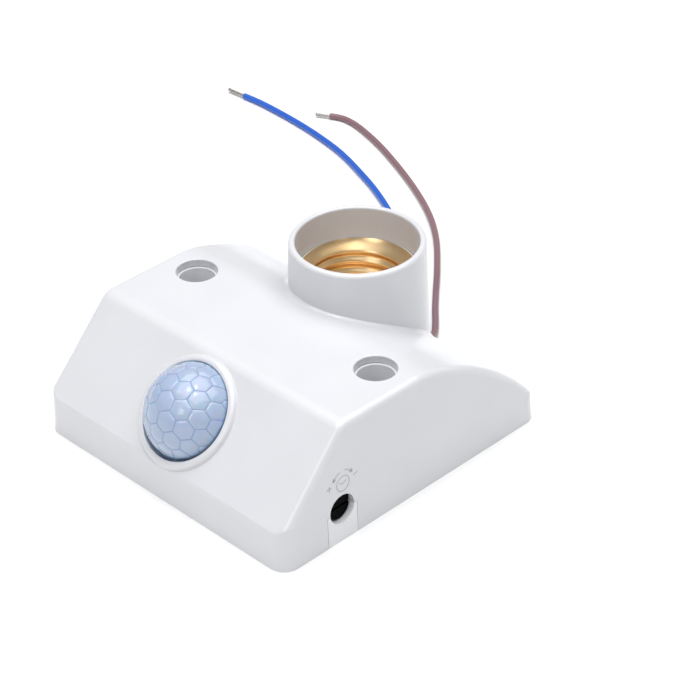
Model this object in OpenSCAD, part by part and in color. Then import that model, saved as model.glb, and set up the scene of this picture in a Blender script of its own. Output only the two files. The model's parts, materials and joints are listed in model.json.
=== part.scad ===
/* Ceiling or wall lamp holder with a passive infrared motion sensor.
   X runs across the front, left to right, Y from front to back, Z up.
   The origin is the middle of the base, on the surface that it is fixed to. */

/* [Housing] */
// Width of the base
body_w = 90; // [88:1:96]
// Depth of the base, front to back
body_d = 92.5; // [92:0.5:97]
// Height of the flat top
top_h = 33.6; // [32.6:0.2:36]
// Height of the upright front wall
front_h = 10.5; // [9.5:0.5:11.5]
// Distance from the front face back to the ridge of the slope
ridge_in = 21.75; // [21:0.25:23]
// Distance from the front face back to where the flat top starts to fall
fall_in = 47.75; // [47:0.25:50]
// Angle that the soft crease behind the flat top turns through
crease_a = 16; // [14:1:18]
// Height of the rear edge before it is rounded
rear_h = 6.2; // [5.4:0.2:7.4]
// Thickness of the moulded walls
wall = 2; // [1.6:0.1:2.2]
// Taper of the upright walls, in degrees
draft_a = 1.5; // [0.5:0.25:2]
// Radius of the upright corners
corner_r = 4.7; // [3.5:0.1:6]
// Radius of the long top edges
edge_r = 2; // [1.2:0.1:2.4]

/* [Lamp socket] */
// Height of the collar's lip above the base
collar_h = 45; // [43:0.5:50]
// Outer radius of the collar at its lip
collar_r = 18.1; // [17.9:0.1:18.6]
// Radius of the bore that the insulator sits in
bore_r = 16.25; // [16.15:0.05:16.5]
// Distance from the rear face forward to the socket's axis
socket_in = 21.25; // [20:0.25:23]
// Depth of the brass rim below the lip
rim_drop = 8.7; // [6:0.1:9.5]
// Smallest inner radius of the threaded shell
thread_r = 12.25; // [12:0.05:12.3]
// Thread pitch of the shell
thread_pitch = 3.62; // [3.4:0.02:3.8]
// Depth of the rolled thread
thread_depth = 1; // [0.8:0.05:1.1]
// Thickness of the brass sheet
brass_t = 0.4; // [0.3:0.05:0.5]

/* [Sensor window] */
// Radius of the lens where it comes out of the slope
lens_r = 12.5; // [12:0.1:12.8]
// Height of the lens's round edge above the slope
lens_edge_h = 1.5; // [1.2:0.1:1.8]
// Height of the domed part of the lens
dome_h = 8.75; // [8:0.05:9.2]
// Thickness of the lens
lens_t = 0.8; // [0.6:0.1:1]
// Distance of the lens's axis up the slope from the front wall
lens_up = 15.4; // [15.2:0.1:16]
// Width of one facet of the lens
facet_w = 5.35; // [5:0.05:5.6]
// Height of the raised rim round the lens
lens_rim_h = 1.3; // [0.8:0.1:1.6]
// Width of the raised rim where it meets the slope
lens_rim_w = 2.2; // [1.6:0.1:2.6]
// Distance of the rim's middle down the slope from the lens's axis
lens_rim_drop = 0.4; // [0:0.1:0.5]

/* [Screw holes] */
// Distance of the fixing screws from the sides
screw_in = 12; // [11.5:0.25:13]
// Distance of the fixing screws from the front face
screw_back = 44.25; // [43:0.25:45]
// Radius of the access holes in the flat top
access_r = 5.5; // [5.3:0.1:6]
// Inner radius of the screw towers
tower_r = 4.9; // [4.6:0.1:5]
// Radius of the holes for the fixing screws
fixing_r = 2.1; // [1.8:0.1:2.4]

/* [Adjusters] */
// Radius of the two adjuster holes in the sides
adjust_r = 4.1; // [3.8:0.1:4.3]
// Distance of the adjusters from the front face
adjust_in = 20.25; // [19.5:0.25:21]
// Height of the adjusters' axis
adjust_h = 9.4; // [9.2:0.1:9.8]
// Width of the tongues below the adjuster holes
tongue_w = 10; // [9.4:0.2:10.6]
// Radius of the adjusters' rotors
rotor_r = 2.4; // [2:0.1:2.6]
// Radius of the rotors' knobs, which fill the holes
knob_r = 3.6; // [3.2:0.1:3.7]

/* [Circuit board] */
// Thickness of the back cover's plate
cover_t = 2; // [1.6:0.1:2.2]
// Height of the posts under the board
post_h = 3.2; // [3:0.1:3.4]
// Thickness of the board
board_t = 1.6; // [1.2:0.1:1.6]

/* [Leads] */
// Diameter of the supply leads over their insulation
lead_d = 1.9; // [1.6:0.1:2]

/* [Hidden] */

// Fineness of round surfaces
fine = 64;
// How far a cutting shape runs past what it cuts
over = 1;
// Gap between flat faces that are pushed together by hand
snug = 0.1;
// Gap between moulded pieces that slide into each other
slip = 0.2;
// Radial play of a rotor or a thread-forming screw in its hole
running = 0.05;

// Places that follow from the driving sizes
half_w = body_w / 2;
half_d = body_d / 2;
slant = tan(draft_a);
foot = [-half_d + front_h * slant, front_h];
ridge = [-half_d + ridge_in, top_h];
fall_y = -half_d + fall_in;
socket_y = half_d - socket_in;
screw_y = -half_d + screw_back;
screw_span = body_w - 2 * screw_in;
adjust_y = -half_d + adjust_in;
board_z = cover_t + post_h;
board_top = board_z + board_t;

// Rounding between neighbouring faces of the side outline
foot_r = 2.4;
ridge_r = 5;
crease_r = 22;
heel_r = 2.6;
least_r = 0.4;

// Direction of the slope and of its outward normal, in the Y-Z plane
slope_a = atan2(ridge[1] - foot[1], ridge[0] - foot[0]);
slope_t = [cos(slope_a), sin(slope_a)];
slope_n = [-sin(slope_a), cos(slope_a)];
wall_n = [-cos(draft_a), sin(draft_a)];
rear_n = [cos(draft_a), sin(draft_a)];
lens_at = foot + lens_up * slope_t;

// Radius and centre of the long rear curve, which runs on from the crease to the rear edge
crease_c = [fall_y, top_h - crease_r];
curve_top = crease_c + crease_r * [sin(crease_a), cos(crease_a)];
rear_edge = [half_d - rear_h * slant, rear_h];
curve_end_a = 2 * atan2(curve_top[1] - rear_edge[1], rear_edge[0] - curve_top[0]) - crease_a;
rear_r = (rear_edge[0] - curve_top[0]) / (sin(curve_end_a) - sin(crease_a));
rear_c = curve_top - rear_r * [sin(crease_a), cos(crease_a)];

// Point where two straight lines n . p = c meet
function meet(n1, c1, n2, c2) =
    let (d = n1[0] * n2[1] - n2[0] * n1[1])
    [(c1 * n2[1] - c2 * n1[1]) / d, (n1[0] * c2 - n2[0] * c1) / d];

// Points along a circular arc; the angle is measured from straight up
function arc(c, r, a0, a1, steps, first = 0) =
    [for (i = [first : steps]) let (a = a0 + (a1 - a0) * i / steps) c + r * [sin(a), cos(a)]];

// Arc that rounds the corner between two lines whose normals lean at a0 and a1
function round_corner(p, a0, a1, r, steps) =
    let (half = (a1 - a0) / 2, mid = (a0 + a1) / 2,
        c = p - r / cos(half) * [sin(mid), cos(mid)])
    arc(c, r, a0, a1, steps);

// Side outline of the body, with the upright walls moved in by dw and the top by dt
function side_outline(dw, dt, z0) =
    let (cw = wall_n * [-half_d, 0] - dw,
        cs = slope_n * ridge - dt,
        cr = rear_n * [half_d, 0] - dw,
        tight = max(dw, dt),
        r1 = max(least_r, foot_r - tight),
        r2 = max(least_r, ridge_r - dt),
        r3 = max(least_r, heel_r - tight),
        p1 = meet(wall_n, cw, slope_n, cs),
        p2 = meet(slope_n, cs, [0, 1], top_h - dt),
        reach = cr - rear_n * rear_c,
        heel_a = asin((reach - r3) / (rear_r - dt - r3)) - draft_a,
        heel_c = rear_c + (rear_r - dt - r3) * [sin(heel_a), cos(heel_a)])
    concat(
        [[(cw - wall_n[1] * z0) / wall_n[0], z0]],
        round_corner(p1, draft_a - 90, -slope_a, r1, 3),
        round_corner(p2, -slope_a, 0, r2, 4),
        arc(crease_c, crease_r - dt, 0, crease_a, 3),
        arc(rear_c, rear_r - dt, crease_a, heel_a, 8, 1),
        arc(heel_c, r3, heel_a, 90 - draft_a, 3, 1),
        [[(cr - rear_n[1] * z0) / rear_n[0], z0]]);

// How far a quarter-round edge of radius r has curved in at distance x from the middle
function curve_in(x, half, r) = r - sqrt(max(0, r * r - pow(max(0, x - half + r), 2)));

// Stations across half the width where the outline is taken
function half_stations(half, rc, re) = concat(
    [for (a = [0, 25]) half - rc * (1 - sin(a))],
    [for (a = [0 : 22.5 : 90]) half - re * (1 - sin(a))]);

// Faces of a closed skin over m rings of n points each
function ring_faces(m, n) = concat(
    [[for (j = [n - 1 : -1 : 0]) j]],
    [for (i = [0 : m - 2]) for (j = [0 : n - 1])
        [i * n + j, i * n + (j + 1) % n, (i + 1) * n + j]],
    [for (i = [0 : m - 2]) for (j = [0 : n - 1])
        [(i + 1) * n + j, i * n + (j + 1) % n, (i + 1) * n + (j + 1) % n]],
    [[for (j = [0 : n - 1]) (m - 1) * n + j]]);

// The body's outer form, or with t > 0 the hollow that leaves walls of that thickness
module body_form(t, z0) {
    half = half_w - t;
    rc = max(0.6, corner_r - t);
    re = max(0.3, edge_r - t);
    right = half_stations(half, rc, re);
    count = len(right);
    stations = concat([for (i = [count - 1 : -1 : 0]) -right[i]], right);
    rings = [for (x = stations)
        [for (p = side_outline(t + curve_in(abs(x), half, rc), t + curve_in(abs(x), half, re), z0))
            [x * (1 - slant * p[1] / half_w), p[0], p[1]]]];
    n = len(rings[0]);
    polyhedron(points = [for (ring = rings) for (p = ring) p], faces = ring_faces(len(rings), n),
        convexity = 6);
}

// Height of the top surface at depth y, behind the ridge
function roof(y) = y < fall_y ? top_h
    : y < fall_y + crease_r * sin(crease_a) ? crease_c[1] + sqrt(pow(crease_r, 2) - pow(y - fall_y, 2))
    : rear_c[1] + sqrt(pow(rear_r, 2) - pow(y - rear_c[0], 2));

// Collar of the lamp socket
collar_slant = 0.025;
lip_outer_r = 1;
lip_inner_r = 0.6;
collar_foot_r = 2;
tube_z = 9;
seat_z = tube_z + 1.5;
seat_hole_r = bore_r - 2.25;
insulator_r = bore_r - slip;
rim_z = collar_h - rim_drop;
rim_r = bore_r - 1.05;
floor_t = 3;
floor_z = seat_z + floor_t;

// Outer radius of the collar at height z
function collar_at(z) = collar_r + (collar_h - z) * collar_slant;

module collar_form() {
    translate([0, socket_y, 0])
    rotate_extrude($fn = 96)
    polygon(concat(
        [[0, tube_z], [collar_at(tube_z), tube_z]],
        arc([collar_r - lip_outer_r, collar_h - lip_outer_r], lip_outer_r, 90, 0, 4),
        arc([bore_r + lip_inner_r, collar_h - lip_inner_r], lip_inner_r, 0, -90, 3),
        [[bore_r, collar_h - 3], [0, collar_h - 3]]));
}

// Soft fillet where the collar grows out of the top
module collar_foot() {
    turns = 48;
    steps = 4;
    section = [for (i = [0 : turns - 1]) let (
            a = 360 * i / turns,
            r0 = collar_at(roof(socket_y + collar_r * sin(a))) - least_r,
            out = min(collar_foot_r, (half_d - heel_r / 2 - socket_y - r0 * sin(a)) / max(0.05, sin(a))),
            f = sin(a) > 0 ? max(0.4, out) : collar_foot_r)
        concat(
            [for (u = [0 : steps]) let (
                    ur = 90 * u / steps,
                    r = r0 + f * (1 - sin(ur)),
                    z = roof(socket_y + r * sin(a)) + f * (1 - cos(ur)))
                [r * cos(a), r * sin(a), z]],
            [[(r0 - 1) * cos(a), (r0 - 1) * sin(a), roof(socket_y + r0 * sin(a)) + f]],
            [[(r0 - 1) * cos(a), (r0 - 1) * sin(a), roof(socket_y + r0 * sin(a)) - 2]],
            [[(r0 + f) * cos(a), (r0 + f) * sin(a), roof(socket_y + (r0 + f) * sin(a)) - 1]])];
    n = steps + 4;
    translate([0, socket_y, 0])
    polyhedron(points = [for (s = section) for (p = s) p],
        faces = [for (i = [0 : turns - 1]) for (j = [0 : n - 1]) for (k = [0, 1])
            let (a = i * n + j, b = i * n + (j + 1) % n,
                c = ((i + 1) % turns) * n + (j + 1) % n, d = ((i + 1) % turns) * n + j)
            k == 0 ? [a, b, c] : [a, c, d]],
        convexity = 8);
}

// Puts its children on the lens's axis, with Z along the slope's outward normal
module on_lens_axis() {
    translate([0, lens_at[0], lens_at[1]])
    rotate([slope_a, 0, 0])
    children();
}

// Seat of the lens behind the slope
aperture_gap = 0.5;
aperture_r = lens_r + aperture_gap;
rim_edge = 0.3;
rim_root = 0.9;
rim_flank = 1.5;
flange_r = lens_r + 1.5;
flange_t = 1;
ring_t = 1.2;
seat_ring_r = flange_r + slip;
seat_depth = wall + flange_t + ring_t;

// Bosses inside the housing that the cover's screws bite into
boss_r = 3.2;
boss_x = half_w - 8;
front_boss_y = -half_d + 8;
rear_boss_y = half_d - 9.5;
pilot_r = 1.1;
boss_z = cover_t + 1.4;
pilot_top = boss_z + 8;
screw_bosses = [for (x = [-boss_x, boss_x]) for (y = [front_boss_y, rear_boss_y]) [x, y]];

// Slot for the leads in the rear wall
lead_x = 1.6;
lead_z = cover_t + lead_d / 2 + 0.15;
slot_w = 2 * lead_x + lead_d + 1;
slot_top = lead_z + lead_d / 2 + 0.5;

module lead_slot(grow) {
    translate([-slot_w / 2 - grow, half_d - wall - 2, -over])
    cube([slot_w + 2 * grow, wall + 4, slot_top + over + grow]);
}

// Space that a tongue of the cover fills in a side wall
tongue_back = 0.6;
module tongue_space(grow, top) {
    translate([half_w - wall - tongue_back, adjust_y - tongue_w / 2 - grow, -over])
    cube([wall + tongue_back + 2, tongue_w + 2 * grow, top + over + grow]);
}

module adjuster_hole(r) {
    translate([half_w - wall - 4, adjust_y, adjust_h])
    rotate([0, 90, 0])
    cylinder(r = r, h = wall + 8, $fn = fine);
}

module both_sides() {
    children();
    mirror([1, 0, 0])
    children();
}

tongue_top = adjust_h - 0.4;
tongue_gap = 0.15;

// Raised rim round the lens, rounded on its outer side
module lens_rim() {
    on_lens_axis()
    translate([0, -lens_rim_drop, 0])
    rotate_extrude($fn = 96)
    polygon(concat(
        [[aperture_r - over, -rim_root], [aperture_r + lens_rim_w, -rim_root]],
        [for (a = [0 : 15 : 90])
            [aperture_r + lens_rim_w - rim_flank * (1 - cos(a)), lens_rim_h * sin(a)]],
        [[aperture_r - over, lens_rim_h]]));
}

module housing() {
    color("white")
    difference() {
        union() {
            body_form(0, 0);
            collar_form();
            collar_foot();
            lens_rim();
        }
        difference() {
            body_form(wall, -over);
            translate([0, socket_y, tube_z])
            cylinder(r = collar_at(tube_z), h = collar_h, $fn = 96);
            for (p = screw_bosses)
                translate([p[0], p[1], boss_z])
                cylinder(r = boss_r, h = top_h, $fn = fine);
            on_lens_axis()
            translate([0, 0, -seat_depth])
            difference() {
                cylinder(r = seat_ring_r + 1.2, h = seat_depth, $fn = fine);
                translate([0, 0, -over])
                cylinder(r = seat_ring_r, h = seat_depth + 2 * over, $fn = fine);
            }
        }
        translate([0, socket_y, seat_z])
        cylinder(r = bore_r, h = collar_h, $fn = 96);
        translate([0, socket_y, -over])
        cylinder(r = seat_hole_r, h = collar_h, $fn = 96);
        for (p = screw_bosses)
            translate([p[0], p[1], boss_z - over])
            cylinder(r = pilot_r, h = pilot_top - boss_z + over, $fn = 32);
        for (x = [-screw_span / 2, screw_span / 2])
            translate([x, screw_y, top_h - wall - over])
            cylinder(r = access_r, h = wall + 2 * over, $fn = fine);
        on_lens_axis()
        translate([0, -lens_rim_drop, 0]) {
            translate([0, 0, -wall - over])
            cylinder(r = aperture_r, h = wall + lens_rim_h + 2 * over, $fn = 96);
            translate([0, 0, lens_rim_h - rim_edge])
            cylinder(r1 = aperture_r, r2 = aperture_r + rim_edge * 2, h = rim_edge * 2, $fn = 96);
        }
        both_sides() {
            adjuster_hole(adjust_r);
            tongue_space(tongue_gap, tongue_top);
        }
        lead_slot(0);
    }
}

// Screw towers and posts of the cover
tower_outer_r = tower_r + 1.5;
tower_gap = 0.3;
tower_top = top_h - wall - tower_gap;
board_post_r = 2.4;
post_pilot_r = 1;
front_post = [half_w - 21.5, -half_d + 7.75];
rear_post = [half_w - 7.5, -half_d + 32.75];
board_posts = [for (s = [-1, 1]) for (p = [front_post, rear_post]) [s * p[0], p[1]]];
clamp_y = half_d - 6.5;
clamp_boss_x = 6.6;
clamp_boss_r = 2.2;
clamp_z = lead_z + lead_d / 2 + running;
counterbore_r = 2.9;
head_h = 1.7;
cover_pad_r = 4.2;

module cover_plate() {
    in = wall + slip;
    r = corner_r - in;
    for (k = [0, 1])
        translate([0, 0, 0])
        linear_extrude(cover_t)
        square([body_w - 2 * in - (k == 0 ? 2 * r : 0), body_d - 2 * in - (k == 1 ? 2 * r : 0)],
            center = true);
    for (x = [-1, 1])
        for (y = [-1, 1])
            translate([x * (half_w - in - r), y * (half_d - in - r), 0])
            cylinder(r = r, h = cover_t, $fn = fine);
}

module back_cover() {
    color("whitesmoke")
    difference() {
        union() {
            cover_plate();
            for (x = [-screw_span / 2, screw_span / 2])
                translate([x, screw_y, 0])
                cylinder(r = tower_outer_r, h = tower_top, $fn = fine);
            for (p = board_posts)
                translate([p[0], p[1], 0])
                cylinder(r = board_post_r, h = board_z, $fn = 32);
            for (p = screw_bosses)
                translate([p[0], p[1], 0])
                cylinder(r = min(cover_pad_r, half_w - wall - slip - boss_x), h = boss_z - snug, $fn = fine);
            for (x = [-clamp_boss_x, clamp_boss_x])
                translate([x, clamp_y, 0])
                cylinder(r = clamp_boss_r, h = clamp_z, $fn = 32);
            both_sides()
            difference() {
                intersection() {
                    body_form(0, 0);
                    tongue_space(0, tongue_top);
                }
                adjuster_hole(adjust_r);
            }
            intersection() {
                body_form(0, 0);
                translate([-slot_w / 2 + tongue_gap, half_d - wall - 1, 0])
                cube([slot_w - 2 * tongue_gap, wall + 2, lead_z - lead_d / 2 - snug]);
            }
        }
        for (x = [-screw_span / 2, screw_span / 2])
            translate([x, screw_y, 0]) {
                translate([0, 0, cover_t])
                cylinder(r = tower_r, h = tower_top, $fn = fine);
                translate([0, 0, -over])
                cylinder(r = fixing_r, h = cover_t + 2 * over, $fn = fine);
            }
        for (p = board_posts)
            translate([p[0], p[1], cover_t - 1])
            cylinder(r = post_pilot_r, h = board_z, $fn = 32);
        for (x = [-clamp_boss_x, clamp_boss_x])
            translate([x, clamp_y, cover_t - 1])
            cylinder(r = post_pilot_r, h = clamp_z, $fn = 32);
        for (p = screw_bosses)
            translate([p[0], p[1], -over]) {
                cylinder(r = counterbore_r, h = head_h + 2 * snug + over, $fn = 32);
                cylinder(r = pilot_r + 0.3, h = boss_z + 2 * over, $fn = 32);
            }
    }
}

// Pan-head screw with a cross recess; it points up from z = 0 at its head's outer face
module pan_screw(head_r, head, shank_r, length) {
    difference() {
        union() {
            rotate_extrude($fn = 32)
            polygon(concat([[0, 0]], [[head_r - 0.5, 0], [head_r, 0.5], [head_r, head], [0, head]]));
            cylinder(r = shank_r, h = head + length - 1.2, $fn = 32);
            translate([0, 0, head + length - 1.2])
            cylinder(r1 = shank_r, r2 = shank_r / 3, h = 1.2, $fn = 32);
        }
        for (a = [0, 90])
            rotate([0, 0, a])
            translate([-head_r * 0.6, -0.35, -over])
            cube([head_r * 1.2, 0.7, over + head * 0.5]);
    }
}

module cover_screws() {
    color("silver")
    for (p = screw_bosses)
        translate([p[0], p[1], snug])
        pan_screw(counterbore_r - slip, head_h, pilot_r - running, 8);
}

// Lens dome with flat facets, each a plane just under the sphere
dome_r = (lens_r * lens_r + dome_h * dome_h) / (2 * dome_h);
dome_c = lens_edge_h + dome_h - dome_r;
facet_deep = 0.37;
facet_step = facet_w / dome_r * 180 / PI;
// Centres of the facets: the middle one, then hexagonal rows around it
facet_rows = 3;
facet_cells = [for (i = [-facet_rows : facet_rows]) for (j = [-facet_rows : facet_rows])
    if (abs(i + j) <= facet_rows) [i + j / 2, j * sqrt(3) / 2] * facet_step];

module dome_solid(less) {
    intersection() {
        translate([0, 0, dome_c])
        sphere(r = dome_r - less, $fn = 96);
        translate([0, 0, -wall - flange_t])
        cylinder(r = lens_r - less, h = 40, $fn = 96);
    }
}

module fresnel_lens() {
    color("lightsteelblue")
    on_lens_axis()
    difference() {
        union() {
            dome_solid(0);
            translate([0, 0, -wall - flange_t - running])
            cylinder(r = flange_r, h = flange_t, $fn = 96);
        }
        for (c = facet_cells)
            translate([0, 0, dome_c])
            rotate([0, 0, atan2(c[1], c[0])])
            rotate([0, norm(c), 0])
            translate([-6, -6, dome_r - facet_deep])
            cube(12);
        dome_solid(lens_t);
        translate([0, 0, -wall - flange_t - over])
        cylinder(r = lens_r - lens_t, h = flange_t + over, $fn = 96);
    }
}

module lens_retainer() {
    color("gainsboro")
    on_lens_axis()
    translate([0, 0, -wall - flange_t - ring_t - 2 * running])
    difference() {
        cylinder(r = flange_r, h = ring_t, $fn = fine);
        translate([0, 0, -over])
        cylinder(r = lens_r - 1, h = ring_t + 2 * over, $fn = fine);
    }
}

// Brass shell, its rolled thread drawn as rings
shell_foot_z = floor_z + 2.2;
flare_h = 3;
thread_top = rim_z - flare_h;
turns_high = floor((thread_top - shell_foot_z) / thread_pitch);
function shell_wave(k) = thread_depth * (1 - cos(360 * k / 6)) / 2;
thread_low = thread_top - turns_high * thread_pitch;
shell_inside = concat(
    [[thread_r, floor_z + brass_t], [thread_r, thread_low]],
    [for (i = [1 : 6 * turns_high]) [thread_r + shell_wave(i), thread_low + i * thread_pitch / 6]],
    [[thread_r + 0.5, thread_top + 0.8], [thread_r + 1.4, thread_top + 1.9],
        [rim_r - 0.5, rim_z - 0.35], [rim_r, rim_z]]);
shell_flange_r = 9.3;
shell_rivet_y = 10.8;
rivet_r = 0.9;

module screw_shell() {
    n = len(shell_inside);
    color("goldenrod")
    translate([0, socket_y, 0])
    difference() {
        rotate_extrude($fn = 96)
        polygon(concat(
            [[shell_flange_r, floor_z], [shell_flange_r, floor_z + brass_t]],
            shell_inside,
            [[rim_r, rim_z - brass_t]],
            [for (i = [n - 2 : -1 : 1]) shell_inside[i] + [brass_t, -brass_t / 4]],
            [[thread_r + brass_t, floor_z]]));
        for (y = [-shell_rivet_y, shell_rivet_y])
            translate([0, y, floor_z - over])
            cylinder(r = rivet_r + running, h = 2 * over, $fn = 32);
    }
}

// Moulded cup that holds the shell
cup_gap = 0.2;
cup_r = thread_r + thread_depth + brass_t + cup_gap;
cup_top = rim_z - brass_t - cup_gap;
contact_x = -7;

module socket_insulator() {
    color("ivory")
    translate([0, socket_y, 0])
    difference() {
        translate([0, 0, seat_z])
        cylinder(r = insulator_r, h = cup_top - seat_z, $fn = 96);
        translate([0, 0, floor_z])
        cylinder(r = cup_r, h = cup_top, $fn = 96);
        translate([0, 0, thread_top - 0.4])
        cylinder(r1 = cup_r, r2 = rim_r + cup_gap, h = cup_top - thread_top + 0.4 + snug, $fn = 96);
        translate([contact_x, 0, 0])
        cylinder(r = rivet_r + running, h = floor_z + over, $fn = 32);
        for (y = [-shell_rivet_y, shell_rivet_y])
            translate([0, y, 0])
            cylinder(r = rivet_r + running, h = floor_z + over, $fn = 32);
    }
}

// Springy centre contact, loose by a small gap around its rivet
contact_gap = 0.35;
contact_w = 6;
contact_t = 0.5;
contact_z = floor_z + contact_gap;
contact_bend = 1.5;
contact_lift = 2.6;
contact_reach = 9;
bead_r = 0.45;

module centre_contact() {
    top = contact_z + contact_lift;
    bend_x = contact_x + contact_bend;
    tip_x = contact_x + contact_reach;
    color("goldenrod")
    difference() {
        translate([0, socket_y + contact_w / 2, 0])
        rotate([90, 0, 0])
        linear_extrude(contact_w) {
            translate([bend_x, contact_z + contact_t / 2])
            circle(r = bead_r, $fn = 32);
            polygon([
            [contact_x - contact_bend, contact_z], [bend_x, contact_z],
            [tip_x - 2.2, top], [tip_x, top], [tip_x + 1.6, top - 1], [tip_x + 1.6, top - 1 + contact_t],
            [tip_x, top + contact_t], [tip_x - 2.4, top + contact_t],
            [bend_x - 0.2, contact_z + contact_t], [contact_x - contact_bend, contact_z + contact_t]]);
        }
        translate([contact_x, socket_y, floor_z])
        cylinder(r = rivet_r + contact_gap, h = 4, $fn = 32);
    }
}

// Rivet from z0 up to z1 with a head on top
module rivet(head_r, head, z0, z1) {
    translate([0, 0, z0])
    cylinder(r = rivet_r, h = z1 - z0 + head, $fn = 32);
    translate([0, 0, z1])
    cylinder(r = head_r, h = head, $fn = 32);
    translate([0, 0, z0 - 0.4])
    cylinder(r = head_r - 0.2, h = 0.4, $fn = 32);
}

tab_t = 0.5;
tab_w = 2.6;
tab_z = seat_z - tab_t - running;

module contact_rivet() {
    color("tan")
    translate([contact_x, socket_y, 0])
    rivet(1.7, 0.6, tab_z - running, contact_z + contact_t + contact_gap);
}

module shell_rivets() {
    color("tan")
    for (y = [-shell_rivet_y, shell_rivet_y])
        translate([0, socket_y + y, 0])
        rivet(1.1, 0.5, tab_z - running, floor_z + brass_t + running);
}

module solder_tab(length) {
    difference() {
        translate([-tab_w / 2, -tab_w / 2, tab_z])
        cube([length, tab_w, tab_t]);
        translate([0, 0, tab_z - over])
        cylinder(r = rivet_r + running, h = tab_t + 2 * over, $fn = 32);
    }
}

contact_tab = 7;
shell_tab = 5;

module socket_terminals() {
    color("gold") {
        translate([contact_x, socket_y, 0])
        solder_tab(contact_tab);
        for (s = [-1, 1])
            translate([0, socket_y + s * shell_rivet_y, 0])
            solder_tab(s < 0 ? shell_tab : tab_w);
    }
}

// Board outline with the corners cut clear of the housing's bosses
board_half = half_w - 4.5;
board_front = -half_d + 5.25;
board_rear = -half_d + 36.25;
drill_r = 0.5;
sensor_back = 16.2;
sensor_face = 11.5;
sensor_can_r = 4.6;
sensor_base = [lens_at[0] - sensor_back * slope_n[0], lens_at[1] - sensor_back * slope_n[1]];
sensor_pins = [for (a = [30, 150, 270]) 2.54 * [cos(a), sin(a)]];
light_at = [10.5, lens_at[0] + 6.5, board_top + 6.4];
light_pins = [for (x = [-1.3, 1.3]) [light_at[0] + x, light_at[1]]];

module circuit_board() {
    color("seagreen")
    difference() {
        translate([-board_half, board_front, board_z])
        cube([2 * board_half, board_rear - board_front, board_t]);
        for (x = [-boss_x, boss_x])
            translate([x, front_boss_y, board_z - over])
            cylinder(r = boss_r + 0.9, h = board_t + 2 * over, $fn = fine);
        for (x = [-1, 1])
            translate([x * (boss_x + 4) - 4, board_front - over, board_z - over])
            cube([8, 7, board_t + 2 * over]);
        for (p = board_posts)
            translate([p[0], p[1], board_z - over])
            cylinder(r = post_pilot_r + 0.35, h = board_t + 2 * over, $fn = 32);
        for (p = sensor_pins)
            translate([p[0], sensor_base[0] + p[1] * slope_t[0], board_z - over])
            cylinder(r = drill_r, h = board_t + 2 * over, $fn = 24);
        for (p = light_pins)
            translate([p[0], p[1], board_z - over])
            cylinder(r = drill_r, h = board_t + 2 * over, $fn = 24);
    }
}

module board_screws() {
    color("silver")
    for (p = board_posts)
        translate([p[0], p[1], board_top + 1.5])
        mirror([0, 0, 1])
        pan_screw(2.1, 1.5, post_pilot_r - running, board_t + post_h);
}

module pir_sensor() {
    color("silver") {
        on_lens_axis() {
            difference() {
                union() {
                    translate([0, 0, -sensor_back])
                    cylinder(r = sensor_can_r, h = 0.5, $fn = fine);
                    translate([0, 0, -sensor_back])
                    cylinder(r = sensor_can_r - 0.5, h = sensor_back - sensor_face, $fn = fine);
                }
                translate([-2, -1.5, -sensor_face - 0.3])
                cube([4, 3, over]);
            }
        }
        for (p = sensor_pins)
            translate([p[0], sensor_base[0] + p[1] * slope_t[0], board_z - 0.4])
            cylinder(r = 0.23, h = sensor_base[1] + p[1] * slope_t[1] + 0.3 - board_z + 0.4, $fn = 24);
    }
}

module sensor_window() {
    color("dimgray")
    on_lens_axis()
    translate([-2, -1.5, -sensor_face - 0.3])
    cube([4, 3, 0.3]);
}

module light_sensor() {
    color("orangered") {
        translate([light_at[0], light_at[1], light_at[2]])
        rotate([slope_a, 0, 0])
        cylinder(r = 2.5, h = 2, $fn = fine);
        for (p = light_pins)
            translate([p[0], p[1], board_z - 0.4])
            cylinder(r = 0.25, h = light_at[2] - board_z + 0.8, $fn = 24);
    }
}

chip_y = -half_d + 9.75;

module control_chip() {
    color("black")
    translate([-9.75, chip_y - 3.2, board_top + 0.5])
    cube([19.5, 6.4, 3.3]);
    color("silver")
    for (i = [0 : 7])
        for (s = [-1, 1])
            translate([-8.89 + 2.54 * i - 0.25, chip_y + s * 3.6 - 0.4, board_top])
            cube([0.5, 0.8, 2]);
}

// Box-shaped part standing on the board, with its upright edges rounded
module board_block(x, y, w, d, h, r) {
    translate([x, y, board_top])
    linear_extrude(h)
    difference() {
        square([w, d], center = true);
        for (i = [-1, 1])
            for (j = [-1, 1])
                translate([i * w / 2, j * d / 2])
                difference() {
                    square(2 * r, center = true);
                    translate([-i * r, -j * r])
                    circle(r = r, $fn = 32);
                }
    }
}

// Board parts keep their places and widths as a share of the body's width
wide = half_w / 45;
relay_at = [25.8 * wide, board_rear - 11];
relay_size = [15.3 * wide, 19, 15.5];
film_x = -25.6 * wide;
film_size = [18 * wide, 9, 13];

module relay() {
    color("royalblue")
    board_block(relay_at[0], relay_at[1], relay_size[0], relay_size[1], relay_size[2], 1);
}

module film_capacitor() {
    color("gold")
    board_block(film_x, board_rear - 6.8, film_size[0], film_size[1], film_size[2], 1);
}

// Upright round capacitor with its crimped groove
module can_capacitor(x, y, r, h) {
    translate([x, y, board_top])
    rotate_extrude($fn = fine)
    polygon([[0, 0], [r - 0.2, 0], [r, 0.3], [r, 1.4], [r - 0.35, 1.8], [r, 2.2], [r, h - 0.4],
        [r - 0.4, h], [r - 0.9, h - 0.15], [0, h - 0.15]]);
}

module electrolytic_capacitors() {
    color("darkslategray") {
        can_capacitor(10.5 * wide, board_rear - 5.5, 4 * wide, 11.5);
        can_capacitor(-9.5 * wide, board_rear - 5.2, 3.2 * wide, 11);
        can_capacitor(0, board_rear - 4, 2.5 * wide, 6);
    }
}

varistor_x = -28 * wide;

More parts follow.
